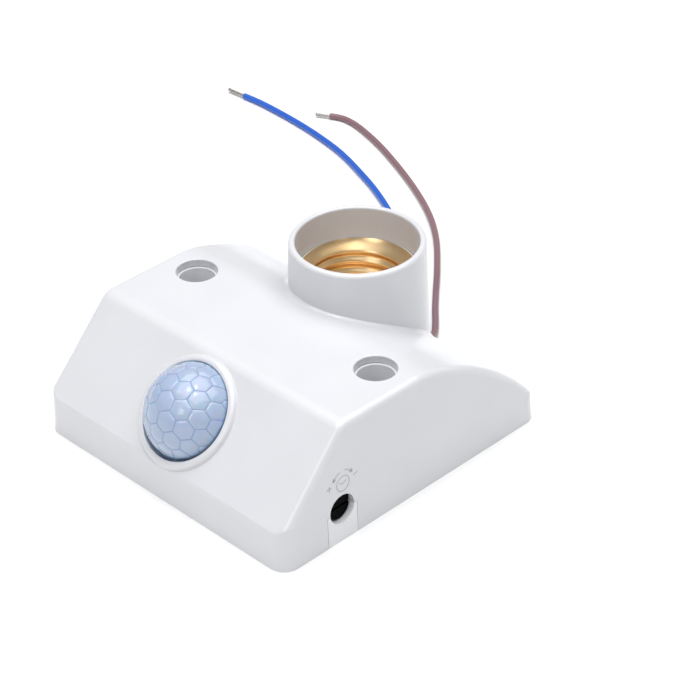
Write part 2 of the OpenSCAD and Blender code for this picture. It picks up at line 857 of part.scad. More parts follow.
module varistor() {
    color("mediumblue") {
        translate([varistor_x, board_rear - 18.2, board_top + 6])
        rotate([90, 0, 0])
        cylinder(r = 4.8, h = 3.5, center = true, $fn = fine);
        for (x = [-2.5, 2.5])
            translate([varistor_x + x, board_rear - 18.2, board_top])
            cylinder(r = 0.4, h = 3, $fn = 24);
    }
}

// Small part lying on the board with its two wire legs; axis along X
module axial_part(r, length, pitch) {
    translate([-length / 2, 0, r + 0.1])
    rotate([0, 90, 0])
    cylinder(r = r, h = length, $fn = 32);
    translate([-pitch / 2, 0, r + 0.1])
    rotate([0, 90, 0])
    cylinder(r = 0.3, h = pitch, $fn = 24);
    for (x = [-pitch / 2, pitch / 2])
        translate([x, 0, 0])
        cylinder(r = 0.3, h = r + 0.1, $fn = 24);
}

module diodes() {
    color("black")
    for (i = [0 : 3])
        translate([-17.5 * wide, board_rear - 16.5 - 3.1 * i, board_top])
        axial_part(1.25, 4.4, 8);
}

module resistors() {
    color("burlywood")
    for (x = [13 * wide, 13 * wide + 2.6, 13 * wide + 5.2, -half_w + 14, -half_w + 16.5])
        translate([x, chip_y + 0.5, board_top])
        rotate([0, 0, 90])
        axial_part(0.9, 3.6, 6.4);
}

module regulator() {
    color("black")
    translate([half_w - 15.5, chip_y + 2, board_top])
    difference() {
        cylinder(r = 2.4, h = 4.8, $fn = fine);
        translate([-4, 1.2, -over])
        cube([8, 4, 8]);
    }
}

// Upright trimmer whose rotor faces out through the side
trimmer_w = 6.8;
trimmer_face = half_w - wall - 1.7;
trimmer_deep = 5;
rotor_out = 0.4;
knob_t = 1.7;

module trimmer_body() {
    difference() {
        translate([trimmer_face - trimmer_deep, adjust_y - trimmer_w / 2, board_top])
        cube([trimmer_deep, trimmer_w, max(adjust_h + rotor_r + 0.9 - board_top, 4)]);
        translate([trimmer_face - trimmer_deep + 1, adjust_y, adjust_h])
        rotate([0, 90, 0])
        cylinder(r = rotor_r + running, h = trimmer_deep, $fn = fine);
    }
}

module trimmer_rotor() {
    difference() {
        translate([0, adjust_y, adjust_h])
        rotate([0, 90, 0]) {
            translate([0, 0, trimmer_face - trimmer_deep + 1.1])
            cylinder(r = rotor_r, h = trimmer_deep - 1.1 + rotor_out + over / 2, $fn = fine);
            translate([0, 0, trimmer_face + rotor_out])
            cylinder(r = knob_r, h = knob_t, $fn = fine);
        }
        translate([trimmer_face + rotor_out + knob_t - 0.6, adjust_y - knob_r - over, adjust_h - 0.35])
        cube([2, 2 * knob_r + 2 * over, 0.7]);
    }
}

module time_trimmer() {
    color("dimgray")
    trimmer_body();
}

module time_rotor() {
    color("black")
    trimmer_rotor();
}

module lux_trimmer() {
    color("dimgray")
    mirror([1, 0, 0])
    trimmer_body();
}

module lux_rotor() {
    color("black")
    mirror([1, 0, 0])
    trimmer_rotor();
}

// Bar that holds the two leads down on the cover
clamp_t = 2;

module lead_clamp() {
    color("white")
    difference() {
        translate([-clamp_boss_x - 2.6, clamp_y - 2.5, clamp_z])
        cube([2 * clamp_boss_x + 5.2, 5, clamp_t]);
        for (x = [-clamp_boss_x, clamp_boss_x])
            translate([x, clamp_y, clamp_z - over])
            cylinder(r = post_pilot_r + 0.3, h = clamp_t + 2 * over, $fn = 32);
    }
}

module clamp_screws() {
    color("silver")
    for (x = [-clamp_boss_x, clamp_boss_x])
        translate([x, clamp_y, clamp_z + clamp_t + 1.2])
        mirror([0, 0, 1])
        pan_screw(2, 1.2, post_pilot_r - running, clamp_t + 2.4);
}

// Rings around a route, each square to the way the cord runs
function unit(v) = v / norm(v);
function heading(p, i) = unit(p[min(i + 1, len(p) - 1)] - p[max(i - 1, 0)]);
function side_of(t) = unit(cross(abs(t[2]) < 0.9 ? [0, 0, 1] : [0, 1, 0], t));
function tube_ring(c, t, r, n) = let (u = side_of(t), v = cross(t, u))
    [for (k = [0 : n - 1]) c + r * (cos(360 * k / n) * u + sin(360 * k / n) * v)];
// Route with a point added half-way along each curved step
function smooth_route(p) = [for (i = [0 : len(p) - 1]) for (k = [0, 1])
    if (k == 0 || i < len(p) - 1)
        k == 0 ? p[i] : (9 * (p[i] + p[i + 1]) - p[max(i - 1, 0)] - p[min(i + 2, len(p) - 1)]) / 16];

module tube(route, r) {
    n = 8;
    m = len(route);
    polyhedron(points = [for (i = [0 : m - 1]) for (q = tube_ring(route[i], heading(route, i), r, n)) q],
        faces = concat(
            [[for (j = [n - 1 : -1 : 0]) j]],
            [for (i = [0 : m - 2]) for (j = [0 : n - 1]) for (k = [0, 1])
                let (a = i * n + j, b = i * n + (j + 1) % n, c = a + n, d = b + n)
                k == 0 ? [a, b, d] : [a, d, c]],
            [[for (j = [0 : n - 1]) (m - 1) * n + j]]),
        convexity = 10);
}

lead_r = lead_d / 2;
exit_y = half_d;
// Routes of the free leads, from the rear wall to the stripped ends
blue_route = [[-1.6, exit_y, lead_z], [-1.6, exit_y + 2.5, 2.9], [-2.2, 51.5, 2.1], [-4.5, 55, 1.2],
    [-9, 59.5, 1], [-15, 64.5, 1], [-22, 70.5, 1], [-30, 77, 1], [-38, 83, 1], [-46, 88, 1],
    [-54, 92.5, 1], [-62, 96.8, 1], [-70, 100.6, 1], [-78, 103.8, 1], [-86, 106.8, 1], [-94, 109.2, 1],
    [-102, 110.9, 1], [-110, 112.2, 1], [-118, 113.1, 1], [-126, 113.7, 1], [-134, 114, 1],
    [-141, 113.7, 1]];
brown_route = [[1.6, exit_y, lead_z], [1.6, exit_y + 2.5, 2.9], [1.2, 51, 2.2], [-0.4, 54.5, 1.3],
    [-4, 58.8, 1], [-9.2, 64.2, 1], [-15, 70.6, 1], [-21, 77.4, 1], [-27.5, 84.4, 1],
    [-34.5, 91.4, 1], [-42.5, 98, 1], [-51, 103.6, 1], [-60, 108.6, 1], [-69, 113, 1],
    [-78, 117, 1], [-86.5, 120.4, 1], [-94.5, 123, 1], [-101.5, 124.7, 1], [-107, 124.8, 1],
    [-111, 123.2, 1]];
bare_r = 0.6;
blue_bare = 7;
brown_bare = 4.9;

// Bare conductor that carries a route on by the given length
module bare_end(route, length) {
    path = smooth_route(route);
    n = len(path);
    d = unit(path[n - 1] - path[n - 2]);
    translate(path[n - 1])
    rotate([0, acos(d[2]), atan2(d[1], d[0])])
    cylinder(r = bare_r, h = length, $fn = 24);
}

module blue_lead() {
    color("royalblue")
    tube(smooth_route(blue_route), lead_r);
}

module brown_lead() {
    color("rosybrown")
    tube(smooth_route(brown_route), lead_r);
}

module blue_lead_end() {
    color("silver")
    bare_end(blue_route, blue_bare);
}

module brown_lead_end() {
    color("silver")
    bare_end(brown_route, brown_bare);
}

// Inner stretch of each lead, under the clamp and up to the board's underside
tail_end_y = board_rear - 3;
function tail_route(s) = [[s * lead_x, exit_y, lead_z], [s * lead_x, clamp_y, lead_z],
    [s * 3, clamp_y - 14, lead_z], [s * 4, clamp_y - 28, lead_z], [s * 4, tail_end_y + 8, lead_z],
    [s * 4, tail_end_y + 2.5, lead_z + 0.1], [s * 4, tail_end_y + 0.6, lead_z + 0.8],
    [s * 4, tail_end_y, board_z - 0.6], [s * 4, tail_end_y, board_z]];

module lead_tails() {
    color("royalblue")
    tube(tail_route(-1), lead_r);
    color("rosybrown")
    tube(tail_route(1), lead_r);
}

// Wires from the board up to the two terminals under the socket
wire_r = 0.7;
wire_z = tube_z - wire_r - 0.5;
function socket_wire(x0, p) = [[x0, board_rear - 1.6, board_top], [x0, board_rear - 1.6, board_top + 0.8],
    [x0, board_rear + 0.6, board_top + 1.2], [x0, board_rear + 6, wire_z], [x0, board_rear + 14, wire_z],
    [(x0 + p[0]) / 2, p[1] - 5, wire_z], [p[0], p[1] - 1.6, wire_z], [p[0], p[1] - 0.3, wire_z + 0.3],
    [p[0], p[1], wire_z + 1], [p[0], p[1], tab_z]];

module socket_wires() {
    color("red")
    tube(socket_wire(-5.5, [contact_x + contact_tab - tab_w, socket_y]), wire_r);
    color("blue")
    tube(socket_wire(5.5, [shell_tab - tab_w, socket_y - shell_rivet_y]), wire_r);
}

housing();
back_cover();
cover_screws();
fresnel_lens();
lens_retainer();
screw_shell();
socket_insulator();
centre_contact();
contact_rivet();
shell_rivets();
socket_terminals();
circuit_board();
board_screws();
pir_sensor();
sensor_window();
light_sensor();
control_chip();
relay();
film_capacitor();
electrolytic_capacitors();
varistor();
diodes();
resistors();
regulator();
time_trimmer();
time_rotor();
lux_trimmer();
lux_rotor();
lead_clamp();
clamp_screws();
lead_tails();
socket_wires();
blue_lead();
brown_lead();
blue_lead_end();
brown_lead_end();
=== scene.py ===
# %% [markdown]
# # Lamp holder with a motion sensor
#
# The object is a white moulded holder for a screw lamp. A faceted lens at the front
# hides an infrared sensor, and two loose leads come out of the rear wall.
#
# Everything is in metres. X runs across the front, Y from front to back, Z up.
# The origin is the middle of the base.

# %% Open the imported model
import json
import math
import bpy
import bmesh
from mathutils import Vector, Matrix

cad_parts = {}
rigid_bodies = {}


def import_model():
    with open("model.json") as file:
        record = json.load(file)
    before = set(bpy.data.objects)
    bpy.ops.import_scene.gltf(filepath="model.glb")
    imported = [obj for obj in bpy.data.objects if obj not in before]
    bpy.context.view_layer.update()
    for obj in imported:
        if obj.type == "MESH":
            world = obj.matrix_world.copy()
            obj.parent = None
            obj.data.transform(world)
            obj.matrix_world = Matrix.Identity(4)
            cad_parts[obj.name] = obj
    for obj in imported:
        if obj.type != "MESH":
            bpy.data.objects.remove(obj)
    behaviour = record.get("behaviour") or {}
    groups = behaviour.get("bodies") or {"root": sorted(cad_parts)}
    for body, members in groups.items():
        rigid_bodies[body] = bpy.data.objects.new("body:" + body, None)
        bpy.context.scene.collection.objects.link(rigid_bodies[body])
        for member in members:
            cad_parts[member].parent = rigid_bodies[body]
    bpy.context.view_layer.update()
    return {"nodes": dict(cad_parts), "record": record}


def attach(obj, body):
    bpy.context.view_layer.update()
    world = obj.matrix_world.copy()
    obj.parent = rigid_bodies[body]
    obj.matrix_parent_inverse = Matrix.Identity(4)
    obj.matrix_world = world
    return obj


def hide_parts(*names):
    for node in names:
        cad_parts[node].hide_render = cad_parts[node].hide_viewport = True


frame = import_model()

# %% [markdown]
# The holder's leading sizes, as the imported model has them. Each is named once, and the
# pieces below are placed from it. The front is a low upright wall with a slope above
# it, and the lens stands square on the slope. All upright walls lean in by the draft
# that lets a moulding leave its mould.

# %% Leading sizes
MM = 0.001
BASE_WIDTH = 90 * MM
BASE_DEPTH = 92.5 * MM
TOP_HEIGHT = 33.6 * MM
FRONT_HEIGHT = 10.5 * MM
RIDGE_Y = -24.5 * MM
DRAFT = math.radians(1.5)
SLANT = math.tan(DRAFT)
SOCKET_Y = 25 * MM
COLLAR_HEIGHT = 45 * MM
ADJUSTER_Y = -26 * MM
ADJUSTER_Z = 9.4 * MM
LENS_UP_THE_SLOPE = 15.4 * MM

slope_foot = Vector((0, -BASE_DEPTH / 2 + FRONT_HEIGHT * SLANT, FRONT_HEIGHT))
slope_top = Vector((0, RIDGE_Y, TOP_HEIGHT))
slope_along = (slope_top - slope_foot).normalized()
slope_out = Vector((1, 0, 0)).cross(slope_along)
SLOPE = math.atan2(slope_along.z, slope_along.y)
lens_centre = slope_foot + LENS_UP_THE_SLOPE * slope_along
print("slope:", round(math.degrees(SLOPE), 1), "degrees")

# %% [markdown]
# ## Camera
#
# The photograph looks down on the holder from the front right, 34 degrees above the
# table. A camera could be aimed at a point, but here its place, its long lens and the
# directions of its right and back were fitted to the body's corners, so they are given
# as they were found. The up direction follows from the other two.

# %% Camera
PICTURE_WIDTH, PICTURE_HEIGHT = 700, 678
FILM_WIDTH = 36
FOCAL_LENGTH = 125.02
NEAREST, FARTHEST = 0.01, 20
camera_place = Vector((0.38313, -0.35213, 0.37308))
camera_right = Vector((0.70682, 0.70716, -0.01836)).normalized()
camera_back = Vector((0.59532, -0.58061, 0.55542))
camera_up = camera_back.cross(camera_right).normalized()
camera_back = camera_right.cross(camera_up)

scene = bpy.context.scene
camera_data = bpy.data.cameras.new("camera")
camera_data.sensor_width = FILM_WIDTH
camera_data.lens = FOCAL_LENGTH
camera_data.clip_start = NEAREST
camera_data.clip_end = FARTHEST
camera = bpy.data.objects.new("camera", camera_data)
aim = Matrix((camera_right, camera_up, camera_back)).transposed().to_4x4()
camera.matrix_world = Matrix.Translation(camera_place) @ aim
scene.collection.objects.link(camera)
scene.camera = camera
scene.render.resolution_x = PICTURE_WIDTH
scene.render.resolution_y = PICTURE_HEIGHT
scene.render.resolution_percentage = 100
print("camera stands", round(camera_place.length, 3), "m from the base's middle")

# %% [markdown]
# ## Colours and materials
#
# Colours are written as they look on screen, in hex, and turned into light amounts by
# one function. `add` places a node and sets or links its inputs.

# %% Colour conversion and a node helper
def light(hex_colour):
    """The linear red, green, blue and alpha of a screen colour such as "#E9EAED"."""
    parts = [int(hex_colour[i:i + 2], 16) / 255 for i in (1, 3, 5)]
    return [c / 12.92 if c < 0.04045 else ((c + 0.055) / 1.055) ** 2.4 for c in parts] + [1]


def add(tree, kind, inputs=None):
    """A new node of that kind; inputs maps an input's name to its setting or to a socket."""
    node = tree.nodes.new("ShaderNode" + kind)
    for name, value in (inputs or {}).items():
        socket = node.inputs[name]
        if isinstance(value, bpy.types.NodeSocket):
            tree.links.new(value, socket)
        else:
            socket.default_value = value
    return node


print("white becomes", [round(c, 3) for c in light("#E9EAED")])

# %% [markdown]
# Most pieces are moulded, drawn or stamped. One recipe serves them all: a base colour
# that drifts between two shades, a fine surface grain as bump, and a roughness that
# drifts with the colour. The grain and the drift are given by their size in
# millimetres. Real grain on such mouldings is finer than the picture can show, so the
# usual grain is drawn about a millimetre coarse.

# %% Surface recipe
GRAIN_HEIGHT = 0.2 * MM


def surface(name, colour, darker, rough, grain=1.11, bump=0.02, metal=0.0, drift=16.7, coat=0.0,
            extra=None):
    """A material whose colour drifts between two shades, with a fine grain; sizes in mm."""
    material = bpy.data.materials.new(name)
    material.use_nodes = True
    tree = material.node_tree
    shader = tree.nodes["Principled BSDF"]
    place = add(tree, "TexCoord").outputs["Object"]
    cloud = add(tree, "TexNoise", {"Vector": place, "Scale": 1000 / drift, "Detail": 3.0})
    tone = add(tree, "ValToRGB", {"Fac": cloud.outputs["Fac"]})
    for stop, (position, shade) in zip(tone.color_ramp.elements, ((0.3, darker), (0.7, colour))):
        stop.position, stop.color = position, light(shade)
    tree.links.new(tone.outputs["Color"], shader.inputs["Base Color"])
    speck = add(tree, "TexNoise", {"Vector": place, "Scale": 1000 / grain, "Detail": 2.0})
    rise = add(tree, "Bump", {"Strength": bump, "Distance": GRAIN_HEIGHT,
                              "Height": speck.outputs["Fac"]})
    tree.links.new(rise.outputs["Normal"], shader.inputs["Normal"])
    sheen = add(tree, "MapRange", {"Value": cloud.outputs["Fac"], "To Min": rough * 0.85,
                                   "To Max": rough * 1.15})
    tree.links.new(sheen.outputs["Result"], shader.inputs["Roughness"])
    shader.inputs["Metallic"].default_value = metal
    shader.inputs["Coat Weight"].default_value = coat
    for socket, value in (extra or {}).items():
        shader.inputs[socket].default_value = value
    return material


print("grain is drawn as", round(GRAIN_HEIGHT / MM, 2), "mm high at full strength")

# %% [markdown]
# The outside is white ABS from a polished mould: a bright even white with a soft gloss.
# The socket is drawn brass sheet, warm and a little blurred. The leads are PVC drawn
# over wire, with a slight sheen, and their ends are tinned copper strands.

# %% Materials seen from outside
MATERIALS = {
    # ABS from a polished mould: even white, the lights show as soft patches
    "white_plastic": surface("white_plastic", "#D6D7DB", "#D3D4D8", 0.22, bump=0.03, coat=0.25,
                             extra={"Coat Roughness": 0.12}),
    # ABS from a lightly etched mould: the same white, nearly without gloss
    "cover_plastic": surface("cover_plastic", "#E6E7EA", "#DFE0E4", 0.45, bump=0.08),
    # Rolled and drawn brass: warm, with slightly blurred reflections
    "brass": surface("brass", "#F3D4A6", "#E9C690", 0.3, metal=1.0, grain=0.625, bump=0.05),
    # Steatite under a thin glaze: warm white, a dull shine
    "insulator_ceramic": surface("insulator_ceramic", "#E4E2DB", "#D8D5CC", 0.35),
    # Black nylon down in a hole, drawn nearly without colour or shine: partly its own black, partly
    # painted shade of the hole
    "rotor_plastic": surface("rotor_plastic", "#08080A", "#050506", 0.6,
                             extra={"Specular IOR Level": 0.03}),
    # PVC drawn over the wire: a smooth soft sheen
    "blue_insulation": surface("blue_insulation", "#2A60C6", "#2559B9", 0.3, drift=33.3,
                               bump=0.05),
    "brown_insulation": surface("brown_insulation", "#896A70", "#7F6067", 0.32, drift=33.3,
                                bump=0.05),
    # Tinned copper, drawn thin: silvery and bright
    "copper_strands": surface("copper_strands", "#CFCBC6", "#B9B4AE", 0.3, metal=1.0),
}
print("outer materials:", len(MATERIALS))

# %% [markdown]
# Inside sit the parts of a common detector circuit. They show only when the cover is
# off, so each has its usual colour and shine and no more.

# %% Materials of the inside
MATERIALS.update({
    # Zinc plate on steel: bright grey with a fine grain
    "plated_steel": surface("plated_steel", "#C9CBCE", "#B4B6BA", 0.3, metal=1.0, grain=0.4),
    # Green mask over glass cloth: the weave shows as a fine grain
    "board": surface("board", "#34774B", "#265C3A", 0.4, grain=0.333, bump=0.1),
    # Polished infrared filter: nearly black, mirror smooth
    "dark_glass": surface("dark_glass", "#2A2A2E", "#1F1F23", 0.08),
    # Photocell under clear coat: orange brown
    "photocell": surface("photocell", "#CF6B3F", "#B2542C", 0.35),
    # Moulded epoxy: matt black, slightly sandy
    "chip_plastic": surface("chip_plastic", "#2B2C2F", "#202124", 0.55, grain=0.25, bump=0.2),
    # Moulded cases, sleeves and dipped coats: plain colours with a soft shine
    "relay_plastic": surface("relay_plastic", "#2F68BC", "#2857A2", 0.3),
    "capacitor_plastic": surface("capacitor_plastic", "#DDB742", "#CBA235", 0.35),
    "can_sleeve": surface("can_sleeve", "#2E3845", "#242C37", 0.25),
    "varistor_coat": surface("varistor_coat", "#2E54B0", "#24459A", 0.3),
    "resistor_coat": surface("resistor_coat", "#D2BA90", "#BDA276", 0.5),
    "trimmer_plastic": surface("trimmer_plastic", "#1E1F21", "#151618", 0.5),
    # PVC again, on the leads' inner ends and the two wires to the socket
    "tail_insulation": surface("tail_insulation", "#3F6EDC", "#345FC6", 0.35),
    "wire_insulation": surface("wire_insulation", "#BB382F", "#9F2B24", 0.35),
})
print("with the inner ones:", len(MATERIALS))

# %% [markdown]
# The lens is moulded from milky polyethylene: light passes, but it is blurred and comes
# out a pale blue. Some transmission with some scatter below the surface gives that, with
# a clear coat for the wet shine. The creases between its facets get a second, darker
# blue: painted shade, where the creases would lie in shadow.

# %% Lens materials
MILKY = {"Transmission Weight": 0.35, "IOR": 1.49, "Subsurface Weight": 0.35,
         "Subsurface Scale": 4 * MM, "Coat Roughness": 0.05}
lens_plastic = surface("lens_plastic", "#CCDEFC", "#C1D5FA", 0.18, coat=0.5, extra=MILKY)
# Darker blue for the faces along the facet borders: painted shade in the creases
lens_crease_shade = surface("lens_crease_shade", "#B0C5EE", "#A7BDE8", 0.25, coat=0.3, extra=MILKY)
MATERIALS["lens_plastic"] = lens_plastic
print("lens materials ready")

# %% [markdown]
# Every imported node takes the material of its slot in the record.

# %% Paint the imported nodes
for part in frame["record"]["subparts"]:
    node = frame["nodes"][part["node"]]
    node.data.materials.clear()
    node.data.materials.append(MATERIALS[part["material_slot"]])

# %% [markdown]
# ## Mesh helpers
#
# Several pieces are a row of rings: a lead, a strand, the swept body. `loft` lays the
# rings down as loops of edges and lets the bridge operator join each to the next, and
# `keep` turns a finished bmesh into an object of the scene.

# %% Mesh helpers
def loft(mesh, rings, closed=False):
    """Bridges rings of points in turn; the ends are capped, or joined when closed."""
    loops = []
    for ring in rings:
        verts = [mesh.verts.new(point) for point in ring]
        loops.append([mesh.edges.new(pair) for pair in zip(verts, verts[1:] + verts[:1])])
    for low, high in zip(loops, loops[1:] + (loops[:1] if closed else [])):
        bmesh.ops.bridge_loops(mesh, edges=low + high)
    if not closed:
        for end in (loops[0], loops[-1]):
            bmesh.ops.contextual_create(mesh, geom=end)


def mesh_data(mesh, name):
    """Mesh data of a bmesh, which is then freed."""
    data = bpy.data.meshes.new(name)
    mesh.to_mesh(data)
    mesh.free()
    return data


def keep(mesh, name, material):
    """Turns a finished bmesh into an object of the scene."""
    data = mesh_data(mesh, name)
    data.materials.append(material)
    piece = bpy.data.objects.new(name, data)
    scene.collection.objects.link(piece)
    return piece


def circle_points(centre, radius, across, lift, sides):
    """Points round a centre in the plane of two directions."""
    angles = (2 * math.pi * k / sides for k in range(sides))
    return [centre + radius * (math.cos(a) * across + math.sin(a) * lift) for a in angles]


print("mesh helpers ready")

# %% [markdown]
# ## Leads
#
# Two soft leads leave a slot in the rear wall, sink to the table within a few
# centimetres and lie there in wide bends. A curve object could draw them, but a loft of
# rings along the route has clean closed ends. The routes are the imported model's own, in
# millimetres; only a few points are given, and points between them soften the bends.

# %% Lead routes
LEAD_DIAMETER = 1.9 * MM
LEAD_EXIT_Z = 3.1
BLUE_ROUTE = [
    (-1.6, 46.25, LEAD_EXIT_Z), (-1.6, 48.75, 2.9), (-2.2, 51.5, 2.1), (-4.5, 55, 1.2),
    (-9, 59.5, 1), (-15, 64.5, 1), (-22, 70.5, 1), (-30, 77, 1), (-38, 83, 1), (-46, 88, 1),
    (-54, 92.5, 1), (-62, 96.8, 1), (-70, 100.6, 1), (-78, 103.8, 1), (-86, 106.8, 1),
    (-94, 109.2, 1), (-102, 110.9, 1), (-110, 112.2, 1), (-118, 113.1, 1), (-126, 113.7, 1),
    (-134, 114, 1), (-141, 113.7, 1)]
BROWN_ROUTE = [
    (1.6, 46.25, LEAD_EXIT_Z), (1.6, 48.75, 2.9), (1.2, 51, 2.2), (-0.4, 54.5, 1.3),
    (-4, 58.8, 1), (-9.2, 64.2, 1), (-15, 70.6, 1), (-21, 77.4, 1), (-27.5, 84.4, 1),
    (-34.5, 91.4, 1), (-42.5, 98, 1), (-51, 103.6, 1), (-60, 108.6, 1), (-69, 113, 1),
    (-78, 117, 1), (-86.5, 120.4, 1), (-94.5, 123, 1), (-101.5, 124.7, 1), (-107, 124.8, 1),
    (-111, 123.2, 1)]


def smooth_route(points, passes=3):
    """The route in metres, with points added so that it bends softly."""
    route = [Vector(p) * MM for p in points]
    for _ in range(passes):
        finer = []
        for i, here in enumerate(route[:-1]):
            before, after = route[max(i - 1, 0)], route[i + 1]
            beyond = route[min(i + 2, len(route) - 1)]
            finer += [here, (9 * (here + after) - before - beyond) / 16]
        route = finer + [route[-1]]
    return route


def route_length(route):
    return sum((b - a).length for a, b in zip(route, route[1:]))


blue_path = smooth_route(BLUE_ROUTE)
brown_path = smooth_route(BROWN_ROUTE)
print("blue lead:", round(route_length(blue_path), 4), "m, brown lead:",
      round(route_length(brown_path), 4), "m")

# %% Sleeves
UP = Vector((0, 0, 1))


def directions(ahead):
    """Two directions square to the way ahead, the first one level."""
    across = ahead.cross(UP).normalized()
    return across, across.cross(ahead)


def smooth_sides(mesh):
    """Smooth four-sided faces, flat caps, all facing outwards."""
    for face in mesh.faces:
        face.smooth = len(face.verts) == 4
    bmesh.ops.recalc_face_normals(mesh, faces=mesh.faces)


def sleeve(name, route, material, sides=20):
    """A closed tube round the route, its ends flat."""
    mesh = bmesh.new()
    ways = [(route[min(i + 1, len(route) - 1)] - route[max(i - 1, 0)]).normalized()
            for i in range(len(route))]
    loft(mesh, [circle_points(point, LEAD_DIAMETER / 2, *directions(ahead), sides)
                for point, ahead in zip(route, ways)])
    smooth_sides(mesh)
    return keep(mesh, name, material)


blue_tube = sleeve("blue_lead_sleeve", blue_path, MATERIALS["blue_insulation"])
brown_tube = sleeve("brown_lead_sleeve", brown_path, MATERIALS["brown_insulation"])
print("sleeves:", len(blue_tube.data.polygons), "and", len(brown_tube.data.polygons), "faces")

# %% [markdown]
# At each tip the insulation is stripped off a few millimetres. What is left is a bundle
# of fine strands, a little twisted: six of them turn round a straight seventh.

# %% Stripped ends
BUNDLE_RADIUS = 0.6 * MM
STRAND_RADIUS = BUNDLE_RADIUS / 3
OUTER_STRANDS = 6
TWIST = math.pi
BLUE_BARE_LENGTH = 6.9 * MM
BROWN_BARE_LENGTH = 4.8 * MM


def bare_strands(name, path, length, steps=12, sides=8):
    """The strands that carry a route on by the given length."""
    mesh = bmesh.new()
    start, ahead = path[-1], (path[-1] - path[-2]).normalized()
    across, lift = directions(ahead)
    for s in range(OUTER_STRANDS + 1):
        rings = []
        for i in range(steps + 1):
            turn = 2 * math.pi * s / OUTER_STRANDS + TWIST * i / steps
            middle = start + length * i / steps * ahead
            if s < OUTER_STRANDS:
                middle += 2 * STRAND_RADIUS * (math.cos(turn) * across + math.sin(turn) * lift)
            rings.append(circle_points(middle, STRAND_RADIUS, across, lift, sides))
        loft(mesh, rings)
    smooth_sides(mesh)
    return keep(mesh, name, MATERIALS["copper_strands"])


blue_bare = bare_strands("blue_bare_strands", blue_path, BLUE_BARE_LENGTH)
brown_bare = bare_strands("brown_bare_strands", brown_path, BROWN_BARE_LENGTH)
print("strands:", len(blue_bare.data.polygons), "faces at each tip")

for piece, node, slot in ((blue_tube, "blue_lead", "blue_insulation"),
                          (brown_tube, "brown_lead", "brown_insulation"),
                          (blue_bare, "blue_lead_end", "copper_strands"),
                          (brown_bare, "brown_lead_end", "copper_strands")):
    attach(piece, "holder")
    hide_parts(node)

# %% [markdown]
# ## Housing
#
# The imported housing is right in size, but its curves are coarse. This finer skin follows
# the same side outline: upright front wall, slope, flat top, soft crease, long curve and
# rear wall. Bevelled boxes wouldn't give the long curve, so the outline is worked out
# once from lines and arcs and then swept across the width.

# %% Arcs and corners
def arc(centre, radius, start, end, steps, first=0):
    """Points along an arc; angles are measured from straight up, towards +Y."""
    angles = [start + (end - start) * i / steps for i in range(first, steps + 1)]
    return [Vector((centre[0] + radius * math.sin(a), centre[1] + radius * math.cos(a)))
            for a in angles]


def meet(lean_a, dist_a, lean_b, dist_b):
    """Where two lines cross, each given by its normal's lean and its distance from the origin."""
    ax, ay, bx, by = math.sin(lean_a), math.cos(lean_a), math.sin(lean_b), math.cos(lean_b)
    d = ax * by - bx * ay
    return Vector(((dist_a * by - dist_b * ay) / d, (ax * dist_b - bx * dist_a) / d))


def rounded(corner, start, end, radius, steps):
    """Arc that rounds a corner between two lines whose normals lean at start and end."""
    half, middle = (end - start) / 2, (start + end) / 2
    centre = corner - radius / math.cos(half) * Vector((math.sin(middle), math.cos(middle)))
    return arc(centre, radius, start, end, steps)


print("a rounded corner:", len(rounded(Vector((0, 0)), 0, math.pi / 2, MM, 8)), "points")

# %% Side outline
WALL = 2 * MM
FOOT_RADIUS, RIDGE_RADIUS, CREASE_RADIUS, HEEL_RADIUS = (r * MM for r in (2.4, 5, 22, 2.6))
LEAST_RADIUS = 0.4 * MM
REAR_EDGE_Z = 6.2 * MM
FALL_Y = 1.5 * MM
CREASE = math.radians(16)
crease_centre = Vector((FALL_Y, TOP_HEIGHT - CREASE_RADIUS))
curve_top = crease_centre + CREASE_RADIUS * Vector((math.sin(CREASE), math.cos(CREASE)))
curve_run = BASE_DEPTH / 2 - REAR_EDGE_Z * SLANT - curve_top.x
curve_end = 2 * math.atan2(curve_top.y - REAR_EDGE_Z, curve_run) - CREASE
REAR_RADIUS = curve_run / (math.sin(curve_end) - math.sin(CREASE))
rear_centre = curve_top - REAR_RADIUS * Vector((math.sin(CREASE), math.cos(CREASE)))


def side_outline(wall_in, top_in, low):
    """(y, z) points of the body's side, its walls moved in and its top lowered."""
    front, rear = DRAFT - math.pi / 2, math.pi / 2 - DRAFT
    front_dist = BASE_DEPTH / 2 * math.cos(DRAFT) - wall_in
    slope_dist = slope_out.y * slope_top.y + slope_out.z * slope_top.z - top_in
    tight = max(wall_in, top_in)
    foot_r = max(LEAST_RADIUS, FOOT_RADIUS - tight)
    ridge_r = max(LEAST_RADIUS, RIDGE_RADIUS - top_in)
    heel_r = max(LEAST_RADIUS, HEEL_RADIUS - tight)
    foot = meet(front, front_dist, -SLOPE, slope_dist)
    ridge = meet(-SLOPE, slope_dist, 0, TOP_HEIGHT - top_in)
    rear_dist = front_dist - (math.cos(DRAFT) * rear_centre.x + math.sin(DRAFT) * rear_centre.y)
    big = REAR_RADIUS - top_in
    heel = math.asin((rear_dist - heel_r) / (big - heel_r)) - DRAFT
    heel_centre = rear_centre + (big - heel_r) * Vector((math.sin(heel), math.cos(heel)))
    y_front = (-front_dist + math.sin(DRAFT) * low) / math.cos(DRAFT)
    y_rear = (front_dist - math.sin(DRAFT) * low) / math.cos(DRAFT)
    return ([Vector((y_front, low))]
            + rounded(foot, front, -SLOPE, foot_r, 8)
            + rounded(ridge, -SLOPE, 0, ridge_r, 10)
            + arc(crease_centre, CREASE_RADIUS - top_in, 0, CREASE, 8)
            + arc(rear_centre, big, CREASE, heel, 28, 1)
            + arc(heel_centre, heel_r, heel, rear, 8, 1)
            + [Vector((y_rear, low))])


print("outline:", len(side_outline(0, 0, 0)), "points, rear curve",
      round(REAR_RADIUS / MM, 1), "mm")

